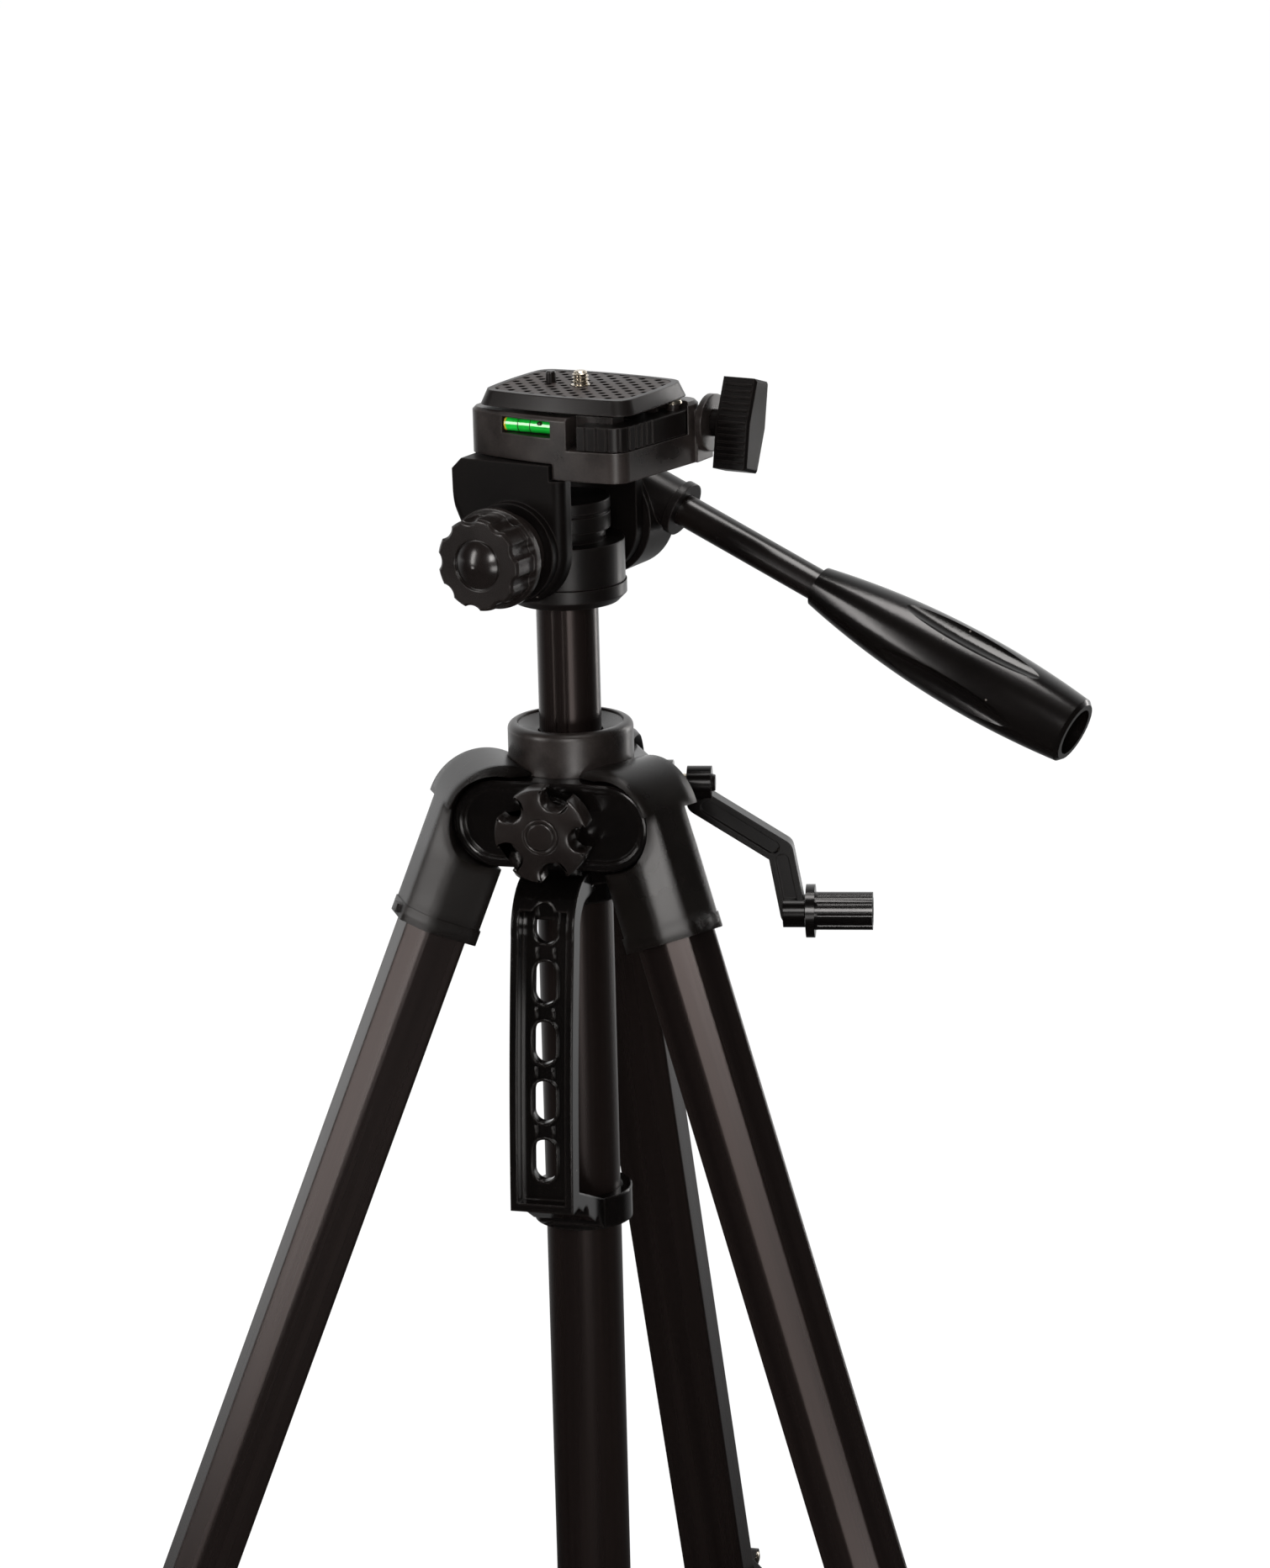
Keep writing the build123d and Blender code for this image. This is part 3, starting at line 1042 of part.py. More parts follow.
def tilt_bracket():
    """Yoke over the pan housing: two cheeks, a top plate, the lock's boss and the middle hinge knuckle."""
    near = cheek()
    plate = block((CHEEK_BACK + CHEEK_CORNER, -CHEEK_OUTER, BRACKET_TOP - BRACKET_PLATE),
                  (BRACKET_PLATE_FRONT, CHEEK_OUTER, BRACKET_TOP))
    body = near + mirror(near, Plane.XZ) + plate
    body = body - block((BRACKET_PLATE_FRONT, -CHEEK_OUTER - CUT, SHELF_BOTTOM - PLATFORM_GAP),
                        (CHEEK_FRONT + CUT, CHEEK_OUTER + CUT, BRACKET_TOP + CUT))
    body = body + tilt_bar(CHEEK_BOSS_RADIUS, -CHEEK_OUTER - CHEEK_BOSS_RISE, -CHEEK_INNER)
    post = block((KNUCKLE_BACK, HINGE_Y - HINGE_POST_INSET, BRACKET_TOP - BRACKET_PLATE),
                 (KNUCKLE_FRONT, HINGE_Y + HINGE_KNUCKLE_RADIUS, HINGE_Z))
    body = body + post + hinge_bar(HINGE_KNUCKLE_RADIUS, KNUCKLE_BACK, KNUCKLE_FRONT)
    body = body - hinge_bar(HINGE_BOLT_RADIUS + RUN_GAP, KNUCKLE_BACK - CUT, KNUCKLE_FRONT + CUT)
    return HEAD * (body - tilt_bar(TILT_AXLE_RADIUS + SEAT_GAP, -TILT_KNOB_FACE, TILT_KNOB_FACE))


def tilt_axle():
    """Cross bolt that the head tilts on."""
    return HEAD * tilt_bar(TILT_AXLE_RADIUS, TILT_KNOB_CORE - TILT_KNOB_FACE, CHEEK_OUTER + TILT_AXLE_BITE)


def tilt_knob():
    """Large lobed tilt lock with a ringed dome in its face, a flange and a skirt behind."""
    back = TILT_KNOB_FACE - TILT_KNOB_THICKNESS
    foot = CHEEK_OUTER + CHEEK_BOSS_RISE + FREE_GAP
    outline = star_outline(TILT_KNOB_RADIUS, TILT_KNOB_LOBES, TILT_KNOB_NOTCH, TILT_KNOB_NOTCH_DEPTH)
    head = Pos(0, 0, back) * extrude(outline, TILT_KNOB_THICKNESS)
    head = chamfer(head.faces().sort_by(Axis.Z)[-1].edges(), TILT_KNOB_EDGE)
    head = head - ring(TILT_DOME_RADIUS + TILT_DOME_GROOVE, TILT_DOME_RADIUS,
                       TILT_KNOB_FACE - TILT_DOME_GROOVE, TILT_KNOB_FACE + CUT)
    ball = (TILT_DOME_RADIUS ** 2 + TILT_DOME_RISE ** 2) / (2 * TILT_DOME_RISE)
    crown = TILT_KNOB_FACE + TILT_DOME_RISE
    dome = Pos(0, 0, crown - ball) * Sphere(ball)
    dome = dome & stack(TILT_DOME_RADIUS, TILT_KNOB_FACE - TILT_DOME_GROOVE, crown + CUT)
    knob = head + dome + stack(TILT_SKIRT_RADIUS, foot, back)
    knob = knob + stack(TILT_FLANGE_RADIUS, back - TILT_FLANGE_WIDTH, back)
    bore = stack(TILT_AXLE_RADIUS + RUN_GAP, foot - CUT, TILT_KNOB_FACE - TILT_KNOB_CORE + FREE_GAP)
    return HEAD * Pos(TILT_X, 0, TILT_HEIGHT) * Plane.XZ.location * (knob - bore)


def rod_frame():
    """Frame of the pan handle: Z along the rod, away from the head, from abreast of the tilt axis."""
    return HEAD * Pos(TILT_X, ROD_OFFSET, TILT_HEIGHT) * Rot(0, 90 + ROD_DROP, 0) * Pos(-ROD_RISE, 0, 0)


def handle_socket():
    """Drum on the tilt axle with the flanged socket for the handle rod."""
    drum = tilt_bar(SOCKET_DISC_RADIUS, CHEEK_OUTER, CHEEK_OUTER + SOCKET_DISC_WIDTH)
    drum = chamfer(drum.faces().sort_by(Axis.Y)[-1].edges(), SOCKET_DISC_EDGE)
    bite = CHEEK_OUTER + TILT_AXLE_BITE + SEAT_GAP
    drum = drum - tilt_bar(TILT_AXLE_RADIUS + SEAT_GAP, CHEEK_OUTER - CUT, bite)
    tube = stack(SOCKET_TUBE_RADIUS, SOCKET_START, SOCKET_END)
    tube = tube + stack(SOCKET_FLANGE_RADIUS, SOCKET_END - SOCKET_FLANGE_WIDTH, SOCKET_END)
    bore = stack(ROD_RADIUS + RUN_GAP, SOCKET_END - ROD_BITE - FREE_GAP, SOCKET_END + CUT)
    return HEAD * drum + rod_frame() * tube - rod_frame() * bore


def handle_rod():
    """Plain rod from the socket into the grip."""
    return rod_frame() * stack(ROD_RADIUS, SOCKET_END - ROD_BITE, SOCKET_END + ROD_LENGTH + ROD_IN_GRIP)


def spindle(length, radius):
    """Lens-shaped bar along Z: an arc turned about its chord."""
    half = length / 2
    arc = ThreePointArc((0, 0, -half), (radius, 0, 0), (0, 0, half))
    return revolve(make_face([arc, Line((0, 0, half), (0, 0, -half))]), Axis.Z)


def handle_grip():
    """Moulded grip: swelling bar with long scooped flutes and an open end."""
    end = GRIP_LENGTH
    rim = end - GRIP_END_EDGE
    nose, belly = (GRIP_NOSE_RADIUS, 0, 0), (GRIP_BELLY_RADIUS, 0, GRIP_BELLY_PLACE)
    shoulder, lip = (GRIP_END_RADIUS, 0, rim), (GRIP_END_RADIUS - GRIP_END_EDGE, 0, end)
    outline = [ThreePointArc(nose, belly, shoulder), Polyline(shoulder, lip, (0, 0, end), (0, 0, 0), nose)]
    grip = revolve(make_face(outline), Axis.Z)
    out = GRIP_BELLY_RADIUS - FLUTE_DEPTH + FLUTE_RADIUS
    flute = Pos(out, 0, GRIP_BELLY_PLACE) * spindle(FLUTE_LENGTH, FLUTE_RADIUS)
    for i in range(GRIP_FLUTES):
        grip = grip - Rot(0, 0, FLUTE_TURN + 360 * i / GRIP_FLUTES) * flute
    grip = grip - stack(GRIP_BORE_RADIUS, end - GRIP_BORE_DEPTH, end + CUT)
    grip = grip - stack(ROD_RADIUS + SEAT_GAP, -CUT, ROD_IN_GRIP + SEAT_GAP)
    return rod_frame() * Pos(0, 0, SOCKET_END + ROD_LENGTH) * grip


# Camera platform

def platform_outline(inset):
    """Plan of the platform: bowed near side, slanting front and rounded corners, shrunk by inset."""
    back, front = (PLATFORM_BACK, PLATFORM_NEAR_BACK), (PLATFORM_FRONT_NEAR, PLATFORM_NEAR_FRONT)
    near = ThreePointArc(back, (PLATFORM_BOW_X, PLATFORM_NEAR), front)
    rest = Polyline(front, (PLATFORM_FRONT, PLATFORM_FAR), (PLATFORM_BACK, PLATFORM_FAR), back)
    face = make_face([near, rest])
    face = fillet(face.vertices(), PLATFORM_CORNER)
    if inset:
        face = offset(face, -inset)
    return face


def qr_plan(grow, start):
    """Plan of the quick-release lever: from an X on the near side, round the corner, to its front eye."""
    band = platform_outline(-grow) - platform_outline(QR_BAND + grow)
    band = band & area((start, PLATFORM_NEAR - CUT), (PLATFORM_FRONT + CUT, QR_PIN_Y))
    return band + Pos(QR_PIN_X, QR_PIN_Y) * Circle(QR_EYE_RADIUS + grow)


def dovetail_boss(grow):
    """Boss under the quick-release plate, narrowing upwards on its two clamped sides."""
    lean = tan(radians(DOVETAIL))
    low, high = BOSS_BOTTOM - grow, PLATE_BOTTOM + FREE_GAP
    foot = BOSS_HALF + grow / cos(radians(DOVETAIL)) + grow * lean
    top = foot - (high - low) * lean
    side = make_face(Polyline(
        (-foot, low), (foot, low), (top, high), (-top, high), close=True))
    return Pos(PLATE_X, 0, 0) * extrude(Plane.XZ * side, BOSS_HALF_DEPTH + grow, both=True)


def platform_blank():
    """Deck of the platform over the bracket's plate, with the deeper shelf in front of it."""
    deck = Pos(0, 0, PLATFORM_BOTTOM) * extrude(platform_outline(0), PLATFORM_THICKNESS)
    deck = chamfer(deck.faces().sort_by(Axis.Z)[-1].edges(), PLATFORM_EDGE)
    shelf = Pos(0, 0, SHELF_BOTTOM) * extrude(platform_outline(0), SHELF_TOP - SHELF_BOTTOM)
    start = BRACKET_PLATE_FRONT + FREE_GAP
    front = block((start, PLATFORM_NEAR, SHELF_BOTTOM), (PLATFORM_FRONT, PLATFORM_FAR, SHELF_TOP))
    return deck + (shelf & front)


def plate_seat():
    """Spaces in the platform for the plate's boss, its way out forwards and the lever's jaw."""
    depth = BOSS_HALF_DEPTH + FREE_GAP
    drift = PLATE_LIFT * sin(radians(DOVETAIL)) + 2 * FREE_GAP
    way_out = block((PLATE_X, -depth, BOSS_BOTTOM - FREE_GAP),
                    (PLATE_X + BOSS_HALF + drift, depth, PLATFORM_TOP + CUT))
    jaw = block((PLATE_X + BOSS_HALF / 2, QR_JAW_NEAR - QR_JAW_SWING, SHELF_TOP),
                (PLATFORM_FRONT, QR_JAW_FAR + QR_JAW_SWING, PLATFORM_TOP + CUT))
    return [dovetail_boss(FREE_GAP), way_out, jaw]


def vial_window():
    """Window in the platform's near edge for the spirit level."""
    half = VIAL_LENGTH / 2 + VIAL_WINDOW_SPARE
    top = PLATFORM_TOP - VIAL_WINDOW_DROP
    back = VIAL_Y + VIAL_RADIUS + VIAL_WINDOW_SPARE
    return block((VIAL_X - half, PLATFORM_NEAR, top - VIAL_WINDOW_HEIGHT), (VIAL_X + half, back, top))


def hinge_ears(body):
    """Add the two outer knuckles and the front disc of the flip hinge, with room for the middle knuckle."""
    low, high = HINGE_Z - HINGE_KNUCKLE_RADIUS, HINGE_Z + HINGE_KNUCKLE_RADIUS
    back, front = KNUCKLE_BACK - FREE_GAP, KNUCKLE_FRONT + FREE_GAP
    for start, end in ((PLATFORM_BACK + HINGE_END_INSET, back), (front, PLATFORM_FRONT)):
        body = body + hinge_bar(HINGE_KNUCKLE_RADIUS, start, end)
        body = body + block((start, PLATFORM_FAR - HINGE_EAR_ROOT, low), (end, HINGE_Y, high))
    foot = block((PLATFORM_FRONT - HINGE_FOOT_LENGTH, PLATFORM_FAR - HINGE_EAR_ROOT, SHELF_BOTTOM),
                 (PLATFORM_FRONT, HINGE_Y + HINGE_FOOT_REACH, HINGE_Z))
    body = body + foot + hinge_bar(HINGE_DISC_RADIUS, PLATFORM_FRONT, PLATFORM_FRONT + HINGE_DISC_WIDTH)
    far = HINGE_Y + 2 * HINGE_KNUCKLE_RADIUS
    body = body - hinge_bar(HINGE_KNUCKLE_RADIUS + FREE_GAP, back, front)
    body = body - block((back, HINGE_Y - HINGE_POST_INSET - FREE_GAP, BRACKET_TOP), (front, far, HINGE_Z))
    disc_end = PLATFORM_FRONT + HINGE_DISC_WIDTH
    return body - hinge_bar(HINGE_BOLT_RADIUS + RUN_GAP, PLATFORM_BACK, disc_end + CUT)


def platform():
    """Camera platform with the plate's seat, the lever's ledge and pin, the level and the hinge."""
    body = hinge_ears(platform_blank() - plate_seat() - vial_window())
    ledge = qr_plan(FREE_GAP, QR_NEAR_END - QR_NOTCH)
    body = body - Pos(0, 0, SHELF_TOP) * extrude(ledge, PLATFORM_TOP - SHELF_TOP + CUT)
    return HEAD * (body + Pos(QR_PIN_X, QR_PIN_Y, 0) * stack(QR_PIN_RADIUS, SHELF_TOP - CUT, PLATFORM_TOP))


def level_vial():
    """Spirit level in the platform's near edge."""
    half = VIAL_LENGTH / 2
    z = PLATFORM_TOP - VIAL_WINDOW_DROP - VIAL_WINDOW_HEIGHT / 2
    return HEAD * rod(VIAL_RADIUS, (VIAL_X - half, VIAL_Y, z), (VIAL_X + half, VIAL_Y, z))


def rib_grooves():
    """Grooves between the finger ribs, fanned round the lever's corner."""
    half = QR_RIB_WIDTH / 2
    fan = Sketch()
    for i in range(QR_RIBS):
        turn = Rot(0, 0, QR_RIB_FIRST + i * QR_RIB_STEP)
        fan = fan + Pos(QR_RIB_X, QR_RIB_Y) * turn * area((0, -half), (PLATFORM_FRONT, half))
    band = platform_outline(-CUT) - platform_outline(QR_RIB_DEPTH)
    return Pos(0, 0, QR_BOTTOM - CUT) * extrude(band & fan, QR_HEIGHT + 2 * CUT)


def qr_lever():
    """Quick-release lever with its ribbed finger end and the jaw that holds the plate."""
    lever = Pos(0, 0, QR_BOTTOM) * extrude(qr_plan(0, QR_NEAR_END), QR_HEIGHT)
    inner = PLATE_X + BOSS_HALF + FREE_GAP
    root = PLATFORM_FRONT_NEAR
    tip = inner - (QR_TOP - BOSS_BOTTOM) * tan(radians(DOVETAIL))
    jaw = make_face(Polyline(
        (inner, QR_BOTTOM), (root, QR_BOTTOM), (root, QR_TOP), (tip, QR_TOP), (inner, BOSS_BOTTOM),
        close=True))
    lever = lever + Pos(0, QR_JAW_FAR, 0) * extrude(Plane.XZ * jaw, QR_JAW_FAR - QR_JAW_NEAR)
    hole = Pos(QR_PIN_X, QR_PIN_Y, 0) * stack(QR_PIN_RADIUS + RUN_GAP, QR_BOTTOM - CUT, QR_TOP + CUT)
    return HEAD * (lever - rib_grooves() - hole)


def flip_wing_knob():
    """Wing knob on the flip hinge, one piece with its bolt."""
    start = PLATFORM_FRONT + HINGE_DISC_WIDTH + FREE_GAP
    waist, tip, half = WING_WAIST / 2, WING_TIP / 2, WING_LENGTH / 2
    outline = make_face(Polyline(
        (-tip, -half), (tip, -half), (waist, 0), (tip, half), (-tip, half), (-waist, 0), close=True))
    wing = extrude(Plane.YZ * Rot(0, 0, WING_TURN) * outline, WING_DEPTH)
    wing = Pos(WING_START, HINGE_Y, HINGE_Z) * wing
    wing = chamfer(wing.faces().sort_by(Axis.X)[-1].edges(), WING_EDGE)
    bolt = hinge_bar(HINGE_BOLT_RADIUS, PLATFORM_BACK + HINGE_END_INSET, start + CUT)
    return HEAD * (bolt + hinge_bar(WING_NECK_RADIUS, start, WING_START + CUT) + wing)


# Quick-release plate

def plate_lean():
    """How far the plate's sides draw in from foot to top."""
    return tan(radians(PLATE_SLOPE)) * PLATE_THICKNESS


def plate_plan(inset, corner):
    """Plan of the plate, shrunk by inset: four bowed sides and rounded corners."""
    x, y = PLATE_LENGTH / 2 - inset, PLATE_WIDTH / 2 - inset
    near = ThreePointArc((-x, -y), (0, -y - PLATE_SIDE_BOW), (x, -y))
    front = ThreePointArc((x, -y), (x + PLATE_END_BOW, 0), (x, y))
    far = ThreePointArc((x, y), (0, y + PLATE_SIDE_BOW), (-x, y))
    back = ThreePointArc((-x, y), (-x - PLATE_END_BOW, 0), (-x, -y))
    face = make_face([near, front, far, back])
    return Pos(PLATE_X, 0) * fillet(face.vertices(), corner)


def pad_plan(grow):
    """Plan of the anti-slip pad."""
    return plate_plan(plate_lean() + PAD_INSET - grow, PLATE_CORNER - PAD_INSET)


def at_screw(shape):
    """Place a shape on the camera screw's axis."""
    return Pos(CAMERA_SCREW_X, 0, 0) * shape


def at_pin(shape):
    """Place a shape on the anti-twist pin's axis."""
    return Pos(CAMERA_SCREW_X - PIN_SPACING, 0, 0) * shape


def qr_plate():
    """Quick-release plate with sloped sides, a dovetail boss below and a tray for the pad on top."""
    lean = plate_lean()
    base, head = plate_plan(0, PLATE_CORNER), plate_plan(lean, PLATE_CORNER - lean / 2)
    body = loft([Pos(0, 0, PLATE_BOTTOM) * base, Pos(0, 0, PLATE_TOP) * head])
    body = body + dovetail_boss(0)
    low = BOSS_BOTTOM - CUT
    body = body - Pos(0, 0, PLATE_TOP - PAD_TRAY) * extrude(pad_plan(SEAT_GAP), PAD_TRAY + CUT)
    body = body - at_screw(stack(CAMERA_SHANK_RADIUS + RUN_GAP, low, PLATE_TOP))
    seat = BOSS_BOTTOM + SCREW_HEAD_HEIGHT + FREE_GAP
    body = body - at_screw(stack(SCREW_HEAD_RADIUS + FREE_GAP, low, seat))
    body = body - at_pin(stack(PIN_RADIUS + RUN_GAP, low, PLATE_TOP))
    return HEAD * (body - at_pin(stack(PIN_COLLAR_RADIUS + FREE_GAP, low, BOSS_BOTTOM + PIN_ROOM_DEPTH)))


def plate_pad():
    """Rubber pad in the plate's tray, holed for the screw and the pin."""
    low, high = PAD_TOP - PAD_THICKNESS, PAD_TOP + CUT
    pad = Pos(0, 0, low) * extrude(pad_plan(0), PAD_THICKNESS)
    pad = pad - at_screw(stack(CAMERA_SHANK_RADIUS + FREE_GAP, low - CUT, high))
    return HEAD * (pad - at_pin(stack(PIN_RADIUS + FREE_GAP, low - CUT, high)))


def camera_screw():
    """Quarter-inch camera screw with its slotted head under the plate."""
    low = BOSS_BOTTOM + SCREW_HEAD_RECESS
    screw = stack(CAMERA_SCREW_RADIUS, low, PAD_TOP + CAMERA_SCREW_RISE)
    screw = chamfer(screw.faces().sort_by(Axis.Z)[-1].edges(), CAMERA_SCREW_EDGE)
    screw = screw + stack(CAMERA_SHANK_RADIUS, low, PAD_TOP + CAMERA_SHANK_RISE)
    screw = screw + stack(SCREW_HEAD_RADIUS, low, BOSS_BOTTOM + SCREW_HEAD_HEIGHT)
    reach, half = SCREW_HEAD_RADIUS + CUT, SCREW_SLOT_WIDTH / 2
    return HEAD * at_screw(screw - block((-reach, -half, low - CUT), (reach, half, low + SCREW_SLOT_DEPTH)))


def anti_twist_pin():
    """Sprung pin beside the camera screw."""
    shoulder = BOSS_BOTTOM + PIN_ROOM_DEPTH - FREE_GAP
    pin = stack(PIN_RADIUS, BOSS_BOTTOM + PIN_TAIL, PAD_TOP + PIN_RISE)
    pin = fillet(pin.faces().sort_by(Axis.Z)[-1].edges(), PIN_ROUND)
    return HEAD * at_pin(pin + stack(PIN_COLLAR_RADIUS, shoulder - PIN_COLLAR_HEIGHT, shoulder))


def main():
    """Write every piece."""
    os.makedirs("parts", exist_ok=True)
    make_legs()
    for name, azimuth in LEG_AZIMUTHS.items():
        save(brace_arm(azimuth), f"{name}_brace_arm")
    for maker in (
            spider_body, leg_pivot_pins, column_collar, guide_tube, tube_end_cap, centre_column,
            column_end_bush, crank_shaft, crank_arm, crank_grip, column_lock_knob, carry_handle, brace_hub,
            brace_hub_pins, pan_base, pan_housing, tilt_bracket, tilt_axle, tilt_knob, handle_socket,
            handle_rod, handle_grip, platform, level_vial, qr_lever, flip_wing_knob, qr_plate, plate_pad,
            camera_screw, anti_twist_pin):
        save(maker(), maker.__name__)


main()
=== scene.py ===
"""Studio picture of a camera tripod: finishes for every piece, small hardware, light and camera.

Shapes are built in millimetres in the frame of the sub-assembly that carries them, and turned into
metres of the model's frame when they become pieces.
"""
from __future__ import annotations

import json
import logging
import math
from dataclasses import dataclass, replace
from enum import Enum
from typing import Sequence

import bmesh
import bpy
from mathutils import Matrix, Vector

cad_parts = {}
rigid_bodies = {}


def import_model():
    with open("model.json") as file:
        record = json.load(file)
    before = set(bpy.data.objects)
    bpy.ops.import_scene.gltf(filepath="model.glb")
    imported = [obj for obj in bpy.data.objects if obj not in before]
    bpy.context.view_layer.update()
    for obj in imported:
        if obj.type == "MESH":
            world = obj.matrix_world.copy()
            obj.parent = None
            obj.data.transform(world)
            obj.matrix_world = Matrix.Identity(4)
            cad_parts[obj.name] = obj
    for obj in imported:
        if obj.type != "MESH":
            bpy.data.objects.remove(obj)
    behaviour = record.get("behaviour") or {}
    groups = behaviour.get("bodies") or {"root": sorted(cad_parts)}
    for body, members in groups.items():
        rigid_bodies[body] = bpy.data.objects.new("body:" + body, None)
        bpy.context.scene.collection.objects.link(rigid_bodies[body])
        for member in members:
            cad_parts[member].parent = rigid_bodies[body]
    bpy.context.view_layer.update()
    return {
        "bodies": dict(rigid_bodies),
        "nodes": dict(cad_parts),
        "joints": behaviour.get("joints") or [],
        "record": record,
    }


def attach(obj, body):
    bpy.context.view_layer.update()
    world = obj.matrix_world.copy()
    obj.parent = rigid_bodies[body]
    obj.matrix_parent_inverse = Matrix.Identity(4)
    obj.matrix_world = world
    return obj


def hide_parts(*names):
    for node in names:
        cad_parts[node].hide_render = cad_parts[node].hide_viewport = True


Frame = dict[str, object]
Pair = tuple[float, float]
Triple = tuple[float, float, float]
Socket = bpy.types.NodeSocket

LOG = logging.getLogger("tripod")
MM = 0.001
TAU = 2 * math.pi
HERE = Matrix.Identity(4)
DATUM = 522.935  # shoulder datum above the floor
HINGE_RISE = 6.0  # leg hinges above the datum
LEG_SPLAY = 22.07  # degrees
LEG_HINGE_RADIUS = 32.0
LEG_HINGE_INSET = 8.0
LEG_AZIMUTHS = {"rear": 90.0, "left": 210.0, "right": 330.0}
PAN_ANGLE = -14.8  # degrees
CREASE = 35.0  # degrees past which an edge of a small piece stays sharp

GRAIN_SHARE = 0.35  # part of the grain in the tint, beside the cloudy marks
TINT_SPAN = (0.45, 0.9)  # noise at the dark colour and at the light one
EDGE_SPAN = (0.995, 0.86)  # cosine between flat and rounded normal at no wear and at full wear
MARK_SPAN = (0.3, 0.7)  # noise at the lowest roughness and at the highest
SPECK_PITCH = 16.0  # spacing of dust specks
SPECK_SPAN = (0.03, 0.018)  # distance from a speck's middle, in pitches, at its rim and where it is full
DUST = "b9b2ab"
DIMPLE_SPAN = (0.16, 0.26)  # radius of a dimple's floor and of its rim, in pitches
DIMPLE_DEPTH = 0.5
# colour of the dimples' floors: painted shade in the hollows
DIMPLE_PAINTED_SHADE = "060404"


def shift(x: float, y: float, z: float) -> Matrix:
    """Make a move, in millimetres.

    Args:
        x, y, z: distances along the axes.

    Returns:
        The move.
    """
    return Matrix.Translation((x, y, z))


def turn(axis: str, degrees: float) -> Matrix:
    """Make a turn about one of the axes.

    Args:
        axis: "X", "Y" or "Z".
        degrees: the angle.

    Returns:
        The turn.
    """
    return Matrix.Rotation(math.radians(degrees), 4, axis)


def leg_frame(azimuth: float) -> Matrix:
    """Find the frame of a leg: X outwards, Z up the leg, from beside its hinge.

    Args:
        azimuth: direction of the leg, degrees.

    Returns:
        The frame.
    """
    hinge = shift(LEG_HINGE_RADIUS, 0, DATUM + HINGE_RISE) @ turn("Y", -LEG_SPLAY)
    return turn("Z", azimuth) @ hinge @ shift(LEG_HINGE_INSET, 0, 0)


SHOULDER = shift(0, 0, DATUM)
HEAD = turn("Z", PAN_ANGLE) @ SHOULDER  # X towards the operator, Y towards the handle
CRANK = turn("Z", 10.0) @ shift(0, 15.376, DATUM + 10.7)  # X out along the crank's shaft


class Grain(Enum):
    """How a surface was made: the stretch of its fine relief along X, Y and Z."""

    MOULDED = (1.0, 1.0, 1.0)
    DRAWN = (1.0, 1.0, 0.015)
    TURNED = (0.05, 0.05, 1.0)


class Slot(Enum):
    """Material slots of the record."""

    GLOSS = "gloss_black"
    SATIN = "satin_black"
    TUBE = "bronze_tube"
    STEEL = "black_steel"
    BRIGHT = "bright_steel"
    RUBBER = "rubber"
    LEVEL = "level_green"


def linear(code: str) -> tuple[float, float, float, float]:
    """Turn an sRGB hex colour into linear light.

    Args:
        code: six hex digits, such as "1a1817".

    Returns:
        Red, green, blue and alpha in linear light.
    """
    values = [int(code[i:i + 2], 16) / 255 for i in (0, 2, 4)]
    lin = [v / 12.92 if v <= 0.04045 else ((v + 0.055) / 1.055) ** 2.4 for v in values]
    return (lin[0], lin[1], lin[2], 1.0)


class Graph:
    """The node tree of a material or a world.

    Attributes:
        tree: the tree.
    """

    def __init__(self, owner: bpy.types.Material | bpy.types.World) -> None:
        """Turn on the owner's nodes and empty them.

        Args:
            owner: the material or world.
        """
        owner.use_nodes = True
        self.tree = owner.node_tree
        self.tree.nodes.clear()

    def add(self, kind: str, settings: dict | None = None, **links: Socket) -> bpy.types.Node:
        """Add a node, set its properties and sockets, and link its inputs.

        Args:
            kind: the node's type name after "ShaderNode".
            settings: properties of the node, and input sockets by name or by number.
            links: output sockets by the input's name, with spaces as underscores; in_0 is input number 0.

        Returns:
            The new node.
        """
        node = self.tree.nodes.new("ShaderNode" + kind)
        for key, value in (settings or {}).items():
            if isinstance(key, int) or key in node.inputs:
                node.inputs[key].default_value = value
            else:
                setattr(node, key, value)
        for key, output in links.items():
            target = int(key[3:]) if key.startswith("in_") else key.replace("_", " ")
            self.tree.links.new(output, node.inputs[target])
        return node

    def remap(self, value: Socket, span: Pair, result: Pair = (0.0, 1.0)) -> Socket:
        """Carry one range of a value over to another, stopping at its ends.

        Args:
            value: the value.
            span: the value at the start and at the end.
            result: what is given at the start and at the end.

        Returns:
            What is given.
        """
        ends = {"From Min": span[0], "From Max": span[1], "To Min": result[0], "To Max": result[1]}
        return self.add("MapRange", ends, Value=value).outputs["Result"]

    def blend(self, share: Socket, first: Socket | str, second: Socket | str) -> Socket:
        """Mix two colours.

        Args:
            share: the second colour's share.
            first: a colour, or its hex digits.
            second: the other colour.

        Returns:
            The mixed colour.
        """
        settings, links = {"data_type": "RGBA"}, {}
        for number, tone in ((6, first), (7, second)):
            if isinstance(tone, str):
                settings[number] = linear(tone)
            else:
                links[f"in_{number}"] = tone
        return self.add("Mix", settings, in_0=share, **links).outputs[2]

    def rays(self, *kinds: str) -> Socket:
        """Tell whether a ray is of one of some kinds.

        Args:
            kinds: outputs of the light path, such as "Is Camera Ray".

        Returns:
            1 for such a ray and 0 for others.
        """
        path = self.add("LightPath")
        seen = path.outputs[kinds[0]]
        for kind in kinds[1:]:
            either = self.add("Math", {"operation": "MAXIMUM"}, in_0=seen, in_1=path.outputs[kind])
            seen = either.outputs["Value"]
        return seen


